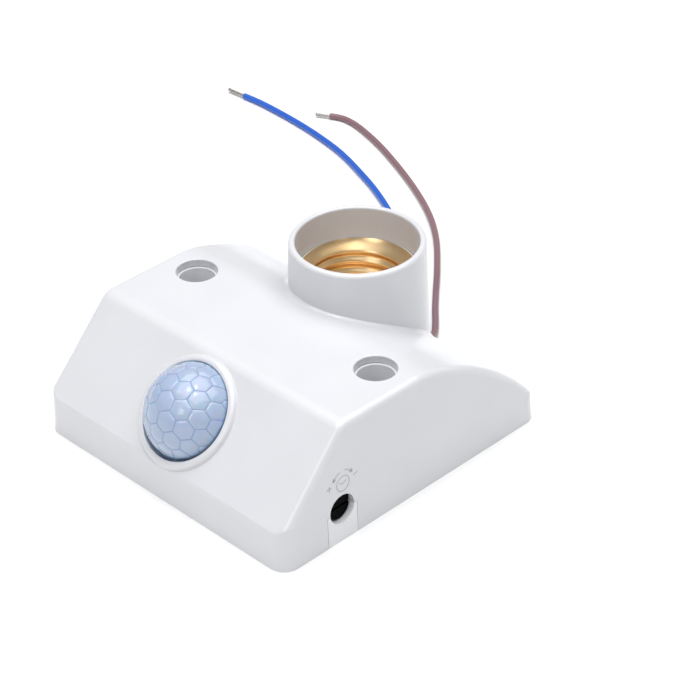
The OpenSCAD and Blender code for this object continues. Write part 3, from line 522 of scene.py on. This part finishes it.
# %% [markdown]
# Seen from above the body has rounded corners, and a smaller round runs along its side
# edges. Both come out of the sweep: near the sides the outline is drawn in by what a
# quarter round takes away there.

# %% Sweep the outline across the width
CORNER_RADIUS = 4.7 * MM
EDGE_RADIUS = 2 * MM
STATION_STEP = 4 * MM


def curved_in(x, half, radius):
    """How far a quarter round has turned in at distance x from the middle."""
    return radius - math.sqrt(max(0, radius ** 2 - max(0, abs(x) - half + radius) ** 2))


def body_form(inward, low):
    """A closed bmesh of the body's outer form, or of its hollow for inward above 0."""
    half = BASE_WIDTH / 2 - inward
    corner, edge = max(0.6 * MM, CORNER_RADIUS - inward), max(0.3 * MM, EDGE_RADIUS - inward)
    right = [half - corner * (1 - math.sin(math.radians(a))) for a in (0, 10, 20, 30)]
    right += [half - edge * (1 - math.sin(math.radians(a))) for a in range(0, 91, 9)]
    middle = [i * STATION_STEP for i in range(-9, 10)]
    rings = []
    for x in [-x for x in right[::-1]] + middle + right:
        outline = side_outline(inward + curved_in(x, half, corner),
                               inward + curved_in(x, half, edge), low)
        rings.append([(x * (1 - SLANT * p.y / (BASE_WIDTH / 2)), p.x, p.y) for p in outline])
    mesh = bmesh.new()
    loft(mesh, rings)
    bmesh.ops.recalc_face_normals(mesh, faces=mesh.faces)
    return mesh


body = body_form(0, 0)
print("body:", len(body.faces), "faces")

# %% [markdown]
# Round forms, such as the collar, cutters and rings, are outlines of (radius, height)
# points that the spin operator turns about an axis. Straight cutters are boxes.

# %% Turned forms
def standing(x, y):
    return Matrix.Translation((x, y, 0))


def turned(outline, where=Matrix(), steps=128):
    """A closed bmesh of an outline spun about Z; it may start and end on the axis."""
    mesh = bmesh.new()
    verts = [mesh.verts.new((r, 0, z)) for r, z in outline]
    following = verts[1:] if outline[0][0] == 0 else verts[1:] + verts[:1]
    edges = [mesh.edges.new(pair) for pair in zip(verts, following)]
    bmesh.ops.spin(mesh, geom=verts + edges, cent=(0, 0, 0), axis=(0, 0, 1), angle=2 * math.pi,
                   steps=steps, use_merge=True)
    bmesh.ops.remove_doubles(mesh, verts=mesh.verts, dist=1e-7)
    bmesh.ops.recalc_face_normals(mesh, faces=mesh.faces)
    mesh.transform(where)
    return mesh


def quarter(r, z, radius, start, end, steps=8):
    """(radius, height) points of an arc round (r, z), angles in degrees from the +radius way."""
    angles = [math.radians(start + (end - start) * i / steps) for i in range(steps + 1)]
    return [(r + radius * math.cos(a), z + radius * math.sin(a)) for a in angles]


def disc(radius, low, high, where, steps=96):
    return turned([(0, low), (radius, low), (radius, high), (0, high)], where, steps)


def round_hole(radius, low, top, soft, where, steps=96):
    """A cutter that ends at height top with its edge opening softly outwards."""
    clear = 4 * MM
    outline = [(0, low), (radius, low)]
    for a in range(0, 76, 15):
        outline.append((radius + soft * (1 - math.cos(math.radians(a))),
                        top - soft * (1 - math.sin(math.radians(a)))))
    edge = radius + soft * 1.04
    outline += [(edge, top + 0.046 * soft), (edge, top + clear), (0, top + clear)]
    return turned(outline, where, steps)


def block(low, high):
    """A box between two corners."""
    mesh = bmesh.new()
    low, high = Vector(low), Vector(high)
    place = Matrix.Translation((high + low) / 2) @ Matrix.Diagonal((*(high - low), 1))
    bmesh.ops.create_cube(mesh, size=1, matrix=place)
    return mesh


on_lens_axis = Matrix.Translation(lens_centre) @ Matrix.Rotation(SLOPE, 4, "X")
print("lens axis leans", round(math.degrees(SLOPE), 1), "degrees")

# %% [markdown]
# The forms are joined and cut with exact Boolean modifiers, one after the other on one
# body. The result is welded, made smooth, and kept sharp only over real edges, so that
# the flat faces stay flat to the eye.

# %% Joining, cutting and finishing
WELD = 1e-6


def combine(start, steps):
    """Joins or cuts each (way, bmesh) step into start, in turn, and returns the new mesh data."""
    base = keep(start, "work_piece", MATERIALS["white_plastic"])
    helpers = []
    for way, form in steps:
        other = keep(form, "work_tool", MATERIALS["white_plastic"])
        change = base.modifiers.new(way, "BOOLEAN")
        change.operation, change.solver, change.object = way, "EXACT", other
        helpers.append(other)
    bpy.context.view_layer.update()
    seen = base.evaluated_get(bpy.context.evaluated_depsgraph_get())
    data = bpy.data.meshes.new_from_object(seen)
    for piece in helpers + [base]:
        bpy.data.objects.remove(piece)
    return data


def finished(data, name, material, sharp=30):
    """An object from mesh data, smooth except over edges sharper than that angle."""
    mesh = bmesh.new()
    mesh.from_mesh(data)
    bmesh.ops.remove_doubles(mesh, verts=mesh.verts, dist=WELD)
    bmesh.ops.dissolve_degenerate(mesh, edges=mesh.edges, dist=WELD)
    for face in mesh.faces:
        face.smooth = True
    for edge in mesh.edges:
        edge.smooth = len(edge.link_faces) == 2 and edge.calc_face_angle(0) < math.radians(sharp)
    piece = keep(mesh, name, material)
    weigh = piece.modifiers.new("even_shading", "WEIGHTED_NORMAL")
    weigh.keep_sharp = True
    return piece


print("points closer than", WELD / MM, "mm are welded")

# %% [markdown]
# The collar is a tube that stands on the long rear curve, its lip rounded outside and
# in. A soft fillet runs round its foot and has to follow the curve, so a ring is laid
# whose section is worked out anew at each angle. Towards the rear edge the fillet gets
# smaller, because the roof ends there.

# %% Collar
COLLAR_RADIUS = 18.1 * MM
COLLAR_SLANT = 0.025
BORE_RADIUS = 16.25 * MM
BORE_DEPTH_IN_LIP = 3 * MM
LIP_OUTSIDE, LIP_INSIDE = 1 * MM, 0.6 * MM
TUBE_LOW = 9 * MM
SEAT_Z = TUBE_LOW + 1.5 * MM
ROUND_STEPS = 160


def collar_radius(z):
    return COLLAR_RADIUS + (COLLAR_HEIGHT - z) * COLLAR_SLANT


def roof(y):
    """Height of the top behind the ridge."""
    if y < FALL_Y:
        return TOP_HEIGHT
    if y < FALL_Y + CREASE_RADIUS * math.sin(CREASE):
        return crease_centre.y + math.sqrt(CREASE_RADIUS ** 2 - (y - FALL_Y) ** 2)
    return rear_centre.y + math.sqrt(REAR_RADIUS ** 2 - (y - rear_centre.x) ** 2)


def collar_form():
    inner_floor = COLLAR_HEIGHT - BORE_DEPTH_IN_LIP
    outline = [(0, TUBE_LOW), (collar_radius(TUBE_LOW), TUBE_LOW)]
    outline += quarter(COLLAR_RADIUS - LIP_OUTSIDE, COLLAR_HEIGHT - LIP_OUTSIDE, LIP_OUTSIDE, 0, 90)
    outline += quarter(BORE_RADIUS + LIP_INSIDE, COLLAR_HEIGHT - LIP_INSIDE, LIP_INSIDE, 90, 180)
    outline += [(BORE_RADIUS, inner_floor), (0, inner_floor)]
    return turned(outline, standing(0, SOCKET_Y), ROUND_STEPS)


print("roof at the collar's middle:", round(roof(SOCKET_Y) / MM, 1), "mm")

# %% Fillet at the collar's foot
FILLET_RADIUS = 2 * MM
LEAST_FILLET = 0.4 * MM
FILLET_SUNK = 0.4 * MM


def collar_foot(steps=10):
    """A ring whose outer face sweeps softly from the roof up the collar."""
    rings = []
    for i in range(ROUND_STEPS):
        a = 2 * math.pi * i / ROUND_STEPS
        side, rise = math.cos(a), math.sin(a)
        r0 = collar_radius(roof(SOCKET_Y + COLLAR_RADIUS * rise)) - FILLET_SUNK
        room = (BASE_DEPTH / 2 - HEEL_RADIUS / 2 - SOCKET_Y - r0 * rise) / max(0.05, rise)
        f = max(LEAST_FILLET, min(FILLET_RADIUS, room)) if rise > 0 else FILLET_RADIUS
        section = []
        for u in (math.pi / 2 * k / steps for k in range(steps + 1)):
            r = r0 + f * (1 - math.sin(u))
            section.append((r, roof(SOCKET_Y + r * rise) + f * (1 - math.cos(u))))
        section.append((r0 - 1 * MM, roof(SOCKET_Y + r0 * rise) + f))
        section.append((r0 - 1 * MM, roof(SOCKET_Y + r0 * rise) - 2 * MM))
        section.append((r0 + f, roof(SOCKET_Y + (r0 + f) * rise) - 1 * MM))
        rings.append([(r * side, SOCKET_Y + r * rise, z) for r, z in section])
    mesh = bmesh.new()
    loft(mesh, rings, closed=True)
    bmesh.ops.recalc_face_normals(mesh, faces=mesh.faces)
    return mesh


fillet = collar_foot()
print("fillet:", len(fillet.faces), "faces")

# %% [markdown]
# The moulding is hollow, but the hollow leaves material round the socket's tube, the
# four screw bosses and the lens's seat. So these are cut out of the hollow's form first,
# and the hollow is then cut out of the body.

# %% Hollow
BOSS_PLACES = [(x, y) for x in (-37 * MM, 37 * MM) for y in (-38.25 * MM, 36.75 * MM)]
BOSS_RADIUS = 3.2 * MM
BOSS_LOW = 3.4 * MM
THROUGH = 60 * MM
SEAT_INSIDE, SEAT_OUTSIDE, SEAT_DEPTH = 14.2 * MM, 15.4 * MM, 4.2 * MM

hollow_steps = [("DIFFERENCE", disc(collar_radius(TUBE_LOW), TUBE_LOW, THROUGH,
                                    standing(0, SOCKET_Y), ROUND_STEPS))]
hollow_steps += [("DIFFERENCE", disc(BOSS_RADIUS, BOSS_LOW, THROUGH, standing(x, y)))
                 for x, y in BOSS_PLACES]
seat_ring = turned([(SEAT_INSIDE, -SEAT_DEPTH), (SEAT_OUTSIDE, -SEAT_DEPTH), (SEAT_OUTSIDE, 0),
                    (SEAT_INSIDE, 0)], on_lens_axis)
hollow_steps.append(("DIFFERENCE", seat_ring))
hollow = bmesh.new()
hollow.from_mesh(combine(body_form(WALL, -1 * MM), hollow_steps))
print("hollow:", len(hollow.faces), "faces")

# %% [markdown]
# A raised rim frames the lens. It rises softly from the slope, is rounded on top and
# drops steeply inside. Its middle lies a little down the slope from the lens's axis. A
# Boolean union of the rim closes the opening by mistake, so the rim is a closed turned
# shell of its own that reaches into the wall, in the same mesh as the housing.

# %% Raised rim round the lens
APERTURE_RADIUS = 13 * MM
RIM_DROP = 0.4 * MM
RIM_HEIGHT = 1.3 * MM
RIM_ROOT = 1.7 * MM
RIM_EDGE = 0.4 * MM
RIM_CROWN = 13.7 * MM

on_rim_axis = on_lens_axis @ Matrix.Translation((0, -RIM_DROP, 0))
rim_outline = [(APERTURE_RADIUS, -RIM_ROOT), (14.6 * MM, -RIM_ROOT), (15.1 * MM, -0.9 * MM),
               (15.25 * MM, -0.25 * MM), (15.12 * MM, 0.02 * MM)]
rim_outline += quarter(RIM_CROWN, 0, RIM_HEIGHT, 8, 90, 10)
rim_outline += quarter(APERTURE_RADIUS + RIM_EDGE, RIM_HEIGHT - RIM_EDGE, RIM_EDGE, 90, 180, 6)
rim_form = turned(rim_outline, on_rim_axis, ROUND_STEPS)
print("rim:", len(rim_form.faces), "faces")

# %% [markdown]
# The openings: the socket's bore and the floor below it, the lens's aperture, two access
# holes for the fixing screws, four pilot holes, a hole for each adjuster, the slots that
# take the cover's tongues, and the slot for the leads.

# %% Openings
FLOOR_RADIUS = 14 * MM
BORE_TOP = 44 * MM
APERTURE_PLAY = 0.05 * MM
ACCESS_RADIUS, ACCESS_DEPTH, ACCESS_EDGE = 5.5 * MM, 4 * MM, 0.35 * MM
SCREW_X, SCREW_Y = 33 * MM, -2 * MM
PILOT_RADIUS, PILOT_LOW, PILOT_TOP = 1.1 * MM, 2 * MM, 11.4 * MM
ADJUSTER_HOLE = 4.1 * MM
TONGUE_WIDTH, TONGUE_TOP, TONGUE_PLAY = 10 * MM, 9 * MM, 0.15 * MM
LEAD_SLOT_HALF, LEAD_SLOT_TOP = 3.05 * MM, 4.55 * MM

socket_place = standing(0, SOCKET_Y)
openings = [disc(BORE_RADIUS, SEAT_Z, BORE_TOP, socket_place, ROUND_STEPS),
            disc(FLOOR_RADIUS, 0, BORE_TOP, socket_place, ROUND_STEPS),
            disc(APERTURE_RADIUS + APERTURE_PLAY, -3.5 * MM, 4 * MM, on_rim_axis, ROUND_STEPS)]
openings += [round_hole(ACCESS_RADIUS, TOP_HEIGHT - ACCESS_DEPTH, TOP_HEIGHT, ACCESS_EDGE,
                        standing(x, SCREW_Y)) for x in (-SCREW_X, SCREW_X)]
openings += [disc(PILOT_RADIUS, PILOT_LOW, PILOT_TOP, standing(x, y), 32) for x, y in BOSS_PLACES]
for side in (-1, 1):
    across = (Matrix.Translation((side * 36 * MM, ADJUSTER_Y, ADJUSTER_Z))
              @ Matrix.Rotation(side * math.pi / 2, 4, "Y"))
    openings.append(disc(ADJUSTER_HOLE, 0, 12 * MM, across))
    near, far = sorted((side * 41 * MM, side * 46 * MM))
    reach = TONGUE_WIDTH / 2 + TONGUE_PLAY
    openings.append(block((near, ADJUSTER_Y - reach, -1 * MM),
                          (far, ADJUSTER_Y + reach, TONGUE_TOP + TONGUE_PLAY)))
openings.append(block((-LEAD_SLOT_HALF, 42.2 * MM, -1 * MM),
                      (LEAD_SLOT_HALF, 48 * MM, LEAD_SLOT_TOP)))
print("openings:", len(openings))

# %% Housing skin
skin_steps = [("UNION", collar_form()), ("UNION", fillet), ("DIFFERENCE", hollow)]
skin_steps += [("DIFFERENCE", opening) for opening in openings]
skin = bmesh.new()
skin.from_mesh(combine(body, skin_steps))
skin.from_mesh(mesh_data(rim_form, "rim"))
housing_skin = finished(mesh_data(skin, "skin"), "housing_skin", MATERIALS["white_plastic"])
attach(housing_skin, "holder")
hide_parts("housing")
print("housing skin:", len(housing_skin.data.polygons), "faces")

# %% [markdown]
# ## Screw shell
#
# The brass shell is drawn from sheet, and its thread is rolled in as one helix of
# 3.62 mm pitch. Below the flared rim and at the foot the thread fades out. Stacked rings
# would look alike from far, but a helix catches the light differently on each side, so
# each ring of the loft follows the helix's wave.

# %% Thread profile
THREAD_RADIUS = 12.25 * MM
THREAD_DEPTH = 1 * MM
PITCH = 3.62 * MM
RIM_Z = 36.3 * MM
RIM_RADIUS = 15.2 * MM
SHELL_FOOT = 13.5 * MM
THREAD_TOP = RIM_Z - 3 * MM
THREAD_FADE = 1.6 * MM
FLARE_START = THREAD_TOP - 0.6 * MM


def faded(z, low, high, soft):
    """1 between low and high, easing to 0 over the soft distance outside."""
    t = min(max(min(z - low, high - z) / soft + 1, 0), 1)
    return t * t * (3 - 2 * t)


def shell_radius(z, turn):
    """Inner radius of the shell at height z and angle turn."""
    wave = (1 - math.cos(2 * math.pi * (z / PITCH - turn / (2 * math.pi)))) / 2
    fade = faded(z, SHELL_FOOT + 3 * MM, THREAD_TOP - 1 * MM, THREAD_FADE)
    flare = min(max((z - FLARE_START) / (RIM_Z - FLARE_START), 0), 1)
    rim = (RIM_RADIUS - THREAD_RADIUS) * (1 - (1 - flare) ** 2) * (0.35 + 0.65 * flare)
    return THREAD_RADIUS + THREAD_DEPTH * wave * fade + rim


print("shell's inner radius at its rim:", round(shell_radius(RIM_Z, 0) / MM, 2), "mm")

# %% Threaded shell
SHEET = 0.4 * MM
FLANGE_RADIUS = 9.3 * MM
RIM_ROLL = 0.12 * MM
RIM_FALL = 0.1 * MM


def threaded_shell(turns=144, levels=120):
    """Rings up the inside, over the rim, down the outside and under the flange."""
    angles = [2 * math.pi * k / turns for k in range(turns)]
    heights = [SHELL_FOOT + (RIM_Z - SHELL_FOOT) * i / levels for i in range(levels + 1)]
    upper = [z for z in heights if z > SHELL_FOOT + SHEET * 1.5]
    rings = [[(FLANGE_RADIUS, SHELL_FOOT + SHEET)] * turns]
    rings.append([(shell_radius(SHELL_FOOT, a), SHELL_FOOT + SHEET) for a in angles])
    rings += [[(shell_radius(z, a), z) for a in angles] for z in upper]
    rings.append([(RIM_RADIUS + RIM_ROLL, RIM_Z - RIM_FALL)] * turns)
    rings += [[(shell_radius(z, a) + SHEET, z - RIM_FALL) for a in angles] for z in upper[-2::-1]]
    rings.append([(THREAD_RADIUS + SHEET, SHELL_FOOT)] * turns)
    rings.append([(FLANGE_RADIUS, SHELL_FOOT)] * turns)
    placed = [[(r * math.cos(a), SOCKET_Y + r * math.sin(a), z)
               for (r, z), a in zip(ring, angles)] for ring in rings]
    mesh = bmesh.new()
    loft(mesh, placed, closed=True)
    bmesh.ops.recalc_face_normals(mesh, faces=mesh.faces)
    return mesh_data(mesh, "shell")


shell = finished(threaded_shell(), "threaded_shell", MATERIALS["brass"], 40)
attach(shell, "holder")
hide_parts("screw_shell")
print("shell:", len(shell.data.polygons), "faces")

# %% [markdown]
# ## Signs by the adjuster
#
# A clock between two curved arrows, with a plus and a minus, stands by the hole on the
# right side. On the real holder they are thin raised lines of the moulding in its own
# white; the grey they are drawn in here is painted shade, the shadow those lines catch.
# An image would do it too, but lines made as thin strips stay sharp and need no file.

# %% Lines on the side face
SIGN_LINE = 0.26 * MM
SIGN_RISE = 0.05 * MM
SIGN_ROOT = -0.1 * MM


def on_side(y, z, rise):
    """A point on the drafted right face, lifted off it by rise."""
    return (BASE_WIDTH / 2 - SLANT * z + rise, y, z)


def line_sign(mesh, points, width=SIGN_LINE, closed=False):
    """A thin raised strip along (y, z) points on the side face."""
    count = len(points)
    rails = []
    for i, p in enumerate(points):
        before = points[(i - 1) % count] if closed or i else p
        after = points[(i + 1) % count] if closed or i < count - 1 else p
        way = (after - before).normalized()
        off = Vector((-way.y, way.x)) * width / 2
        section = ((p + off, SIGN_ROOT), (p + off, SIGN_RISE), (p - off, SIGN_RISE),
                   (p - off, SIGN_ROOT))
        rails.append([on_side(q.x, q.y, rise) for q, rise in section])
    loft(mesh, rails, closed)


def around(centre, radius, start, end, steps):
    """Points round a centre between two angles in degrees."""
    angles = [math.radians(start + (end - start) * i / steps) for i in range(steps + 1)]
    return [centre + radius * Vector((math.cos(a), math.sin(a))) for a in angles]


print("lines are", round(SIGN_LINE / MM, 2), "mm wide")

# %% Clock, arrows, plus and minus
CLOCK = Vector((-25.4, 16.8)) * MM
CLOCK_RADIUS = 2.15 * MM
LONG_HAND, SHORT_HAND = Vector((1.15, 0.6)) * MM, Vector((-1.1, 0.35)) * MM
ARROW_RADIUS = 3.75 * MM
HEAD_AHEAD, HEAD_BACK, HEAD_SIDE = 0.5 * MM, 0.45 * MM, 0.5 * MM
PLUS = Vector((-30.0, 17.4)) * MM
PLUS_ARM = 0.85 * MM
MINUS = [Vector((-21.8, 17.4)) * MM, Vector((-20.4, 17.9)) * MM]


def arrow(mesh, start, end):
    """A curved arrow about the clock, its head at the end angle."""
    path = around(CLOCK, ARROW_RADIUS, start, end, 10)
    line_sign(mesh, path)
    tip, way = path[-1], (path[-1] - path[-2]).normalized()
    side = Vector((-way.y, way.x))
    for s in (-1, 1):
        line_sign(mesh, [tip + HEAD_AHEAD * way, tip - HEAD_BACK * way + s * HEAD_SIDE * side])
    line_sign(mesh, [tip - 0.4 * MM * way, tip + 0.3 * MM * way], 0.55 * MM)


signs_mesh = bmesh.new()
line_sign(signs_mesh, around(CLOCK, CLOCK_RADIUS, 0, 352.5, 47), closed=True)
for hand in (LONG_HAND, SHORT_HAND):
    line_sign(signs_mesh, [CLOCK, CLOCK + hand])
arrow(signs_mesh, 104, 143)
arrow(signs_mesh, 79, 38)
for arm in (Vector((PLUS_ARM, 0)), Vector((0, PLUS_ARM))):
    line_sign(signs_mesh, [PLUS - arm, PLUS + arm])
line_sign(signs_mesh, MINUS)
bmesh.ops.recalc_face_normals(signs_mesh, faces=signs_mesh.faces)
# Painted shade along the moulded lines: a matt grey only a little darker than the wall, for the
# shadow the raised lines catch
sign_line_shade = surface("sign_line_shade", "#B4B5BA", "#A9AAB0", 0.4)
signs = keep(signs_mesh, "adjuster_signs", sign_line_shade)
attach(signs, "holder")
print("signs:", len(signs.data.polygons), "faces")

# %% [markdown]
# ## Lens
#
# The lens is a thin dome, most of a half ball, in front of the sensor. Its facets lie
# in six-sided rows round the middle one, 23 degrees apart, and each sends light from its
# own direction to the sensor. An icosphere has some five-sided faces and the wrong
# rows, so the facets are laid out flat as a honeycomb and then wrapped on the ball. Each
# bulges a little, so fine creases run between them.

# %% Facet directions
BALL_RADIUS = 13.3 * MM
BALL_MIDDLE = -3.05 * MM
LENS_RADIUS = 12.5 * MM
FACET_STEP = math.radians(23)
FACET_ROWS = 4
RIM_ANGLE = math.asin(LENS_RADIUS / BALL_RADIUS)


def toward(px, py):
    """Unit direction at an angle from the lens's axis, given as a plane position in radians."""
    angle, turn = math.hypot(px, py), math.atan2(py, px)
    flat = math.sin(angle)
    return Vector((flat * math.cos(turn), flat * math.sin(turn), math.cos(angle)))


rows = range(-FACET_ROWS, FACET_ROWS + 1)
facet_middles = [((i + j / 2) * FACET_STEP, j * math.sqrt(0.75) * FACET_STEP)
                 for i in rows for j in rows if abs(i + j) <= FACET_ROWS]
print("facets:", len(facet_middles))

# %% Points on the dome
INSIDE_SKIRT = LENS_RADIUS - 0.02 * MM


def on_dome(direction, dip):
    """A point of the dome in one direction, sunk by dip; past the rim it goes down the skirt."""
    angle = direction.angle(UP, 0)
    if angle <= RIM_ANGLE:
        place = direction * (BALL_RADIUS - dip)
        flat = place.xy.length
        squeeze = min(1, INSIDE_SKIRT / flat) if flat > 0 else 1
        return Vector((place.x * squeeze, place.y * squeeze, place.z + BALL_MIDDLE))
    flat = direction.xy.normalized() * INSIDE_SKIRT
    drop = (angle - RIM_ANGLE) * BALL_RADIUS + dip
    return Vector((flat.x, flat.y, BALL_RADIUS * math.cos(RIM_ANGLE) + BALL_MIDDLE - drop))


print("dome's top:", round(on_dome(UP, 0).z / MM, 2), "mm above the slope")

# %% Facets
MIDDLE_DIP, BORDER_FALL, CREASE_DIP = 0.12 * MM, 0.15 * MM, 0.06 * MM
SHARES = (0, 0.25, 0.5, 0.75, 0.94, 1)
POINTS_A_SIDE = 6
PAST_RIM = 0.12
# Slot of the crease faces, which take the darker blue of painted crease shade
CREASE_SHADE_SLOT = 1

facet_reach = FACET_STEP / math.sqrt(3)
corners = [facet_reach * Vector((math.cos(a), math.sin(a))) for a in
           (math.radians(30 + 60 * k) for k in range(6))]
border = [corners[k].lerp(corners[(k + 1) % 6], i / POINTS_A_SIDE)
          for k in range(6) for i in range(POINTS_A_SIDE)]


def facet(mesh, px, py):
    """One six-sided facet as rings from its middle out; the last ring is the crease."""
    rings = []
    for share in SHARES:
        dip = MIDDLE_DIP + BORDER_FALL * share ** 2 + (CREASE_DIP if share == 1 else 0)
        rings.append([mesh.verts.new(on_dome(toward(px + b.x * share, py + b.y * share), dip))
                      for b in (border if share else border[:1])])
    for n, (inner, outer) in enumerate(zip(rings, rings[1:])):
        for k in range(len(outer)):
            m = (k + 1) % len(outer)
            near = (inner[0],) if len(inner) == 1 else (inner[m], inner[k])
            face = mesh.faces.new((outer[k], outer[m], *near))
            face.material_index = CREASE_SHADE_SLOT if n == len(SHARES) - 2 else 0


dome = bmesh.new()
for px, py in facet_middles:
    if math.hypot(px, py) - FACET_STEP / 2 <= RIM_ANGLE + PAST_RIM:
        facet(dome, px, py)
print("dome:", len(dome.faces), "faces")

# %% Lens
SKIRT_TOP = 0.9 * MM
FLANGE_TOP, FLANGE_LOW, FLANGE_OUTSIDE = -2.2 * MM, -3.2 * MM, 14 * MM
SKIRT_INSIDE = 11.7 * MM

skirt = turned([(LENS_RADIUS, SKIRT_TOP), (LENS_RADIUS, FLANGE_TOP),
                (FLANGE_OUTSIDE, FLANGE_TOP), (FLANGE_OUTSIDE, FLANGE_LOW),
                (SKIRT_INSIDE, FLANGE_LOW), (SKIRT_INSIDE, SKIRT_TOP)])
dome.from_mesh(mesh_data(skirt, "skirt"))
dome.transform(on_lens_axis)
lens_shape = finished(mesh_data(dome, "lens"), "lens_shape", MATERIALS["lens_plastic"], 40)
# Second slot: the darker blue of painted shade in the creases
lens_shape.data.materials.append(lens_crease_shade)
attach(lens_shape, "holder")
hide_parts("fresnel_lens")
print("lens:", len(lens_shape.data.polygons), "faces")

# %% [markdown]
# ## The other pieces
#
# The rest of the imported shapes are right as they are. Each gets a welded copy, smooth
# over its curves and sharp over its edges.

# %% Welded copies
SHOWN_ELSEWHERE = {"housing", "screw_shell", "fresnel_lens", "blue_lead", "brown_lead",
                   "blue_lead_end", "brown_lead_end"}
bodies = frame["record"]["behaviour"]["bodies"]
body_of_node = {node: name for name, nodes in bodies.items() for node in nodes}
as_packed = [part for part in frame["record"]["subparts"] if part["node"] not in SHOWN_ELSEWHERE]
for part in as_packed:
    name = part["node"]
    copy = finished(frame["nodes"][name].data, name + "_shape", MATERIALS[part["material_slot"]])
    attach(copy, body_of_node[name])
    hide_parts(name)
print("copies:", len(as_packed))

# %% [markdown]
# ## Table and light
#
# The photograph shows the holder cut out on white. Here it stands on a wide sheet of
# matt white paper that runs past the edges of the picture, and the light is bright
# enough to wash out nearly all of its shadow.

# %% Table
TABLE_HALF = 6
table_mesh = bmesh.new()
bmesh.ops.create_grid(table_mesh, x_segments=1, y_segments=1, size=TABLE_HALF)
# Matt paper: nearly white, without any shine
table_paper = surface("table_paper", "#F4F4F4", "#F2F2F2", 0.6, bump=0.0)
table = keep(table_mesh, "table", table_paper)
print("table:", 2 * TABLE_HALF, "m wide")

# %% [markdown]
# A very large light overhead gives the even white. A small one straight above makes the
# bright patch on the lens, a low one in front lifts the slope, and a weak one from the
# right puts a second small gleam on the lens. The surround fills what is left.

# %% Lights
AIM = (0, 0, 0.02)
SURROUND = 0.28
PURE_WHITE = "#FFFFFF"


def soft_light(name, place, width, power):
    """A square soft light at place, facing the holder."""
    data = bpy.data.lights.new(name, "AREA")
    data.shape = "SQUARE"
    data.size = width
    data.energy = power
    data.color = light(PURE_WHITE)[:3]
    lamp = bpy.data.objects.new(name, data)
    scene.collection.objects.link(lamp)
    lamp.location = place
    lamp.rotation_euler = (Vector(AIM) - Vector(place)).to_track_quat("-Z", "Y").to_euler()


soft_light("overhead_light", place=(0, 0.12, 1.6), width=2.2, power=38)
soft_light("key_light", place=(0, -0.11, 1.58), width=0.45, power=4)
soft_light("front_light", place=(0.3, -1.3, 0.9), width=0.6, power=3.2)
soft_light("right_light", place=(1.3, -0.37, 0.62), width=0.25, power=0.4)
world = bpy.data.worlds.new("surround")
world.use_nodes = True
world.node_tree.nodes["Background"].inputs["Color"].default_value = light(PURE_WHITE)
world.node_tree.nodes["Background"].inputs["Strength"].default_value = SURROUND
scene.world = world
scene.view_settings.view_transform = "Standard"
print("lights ready")
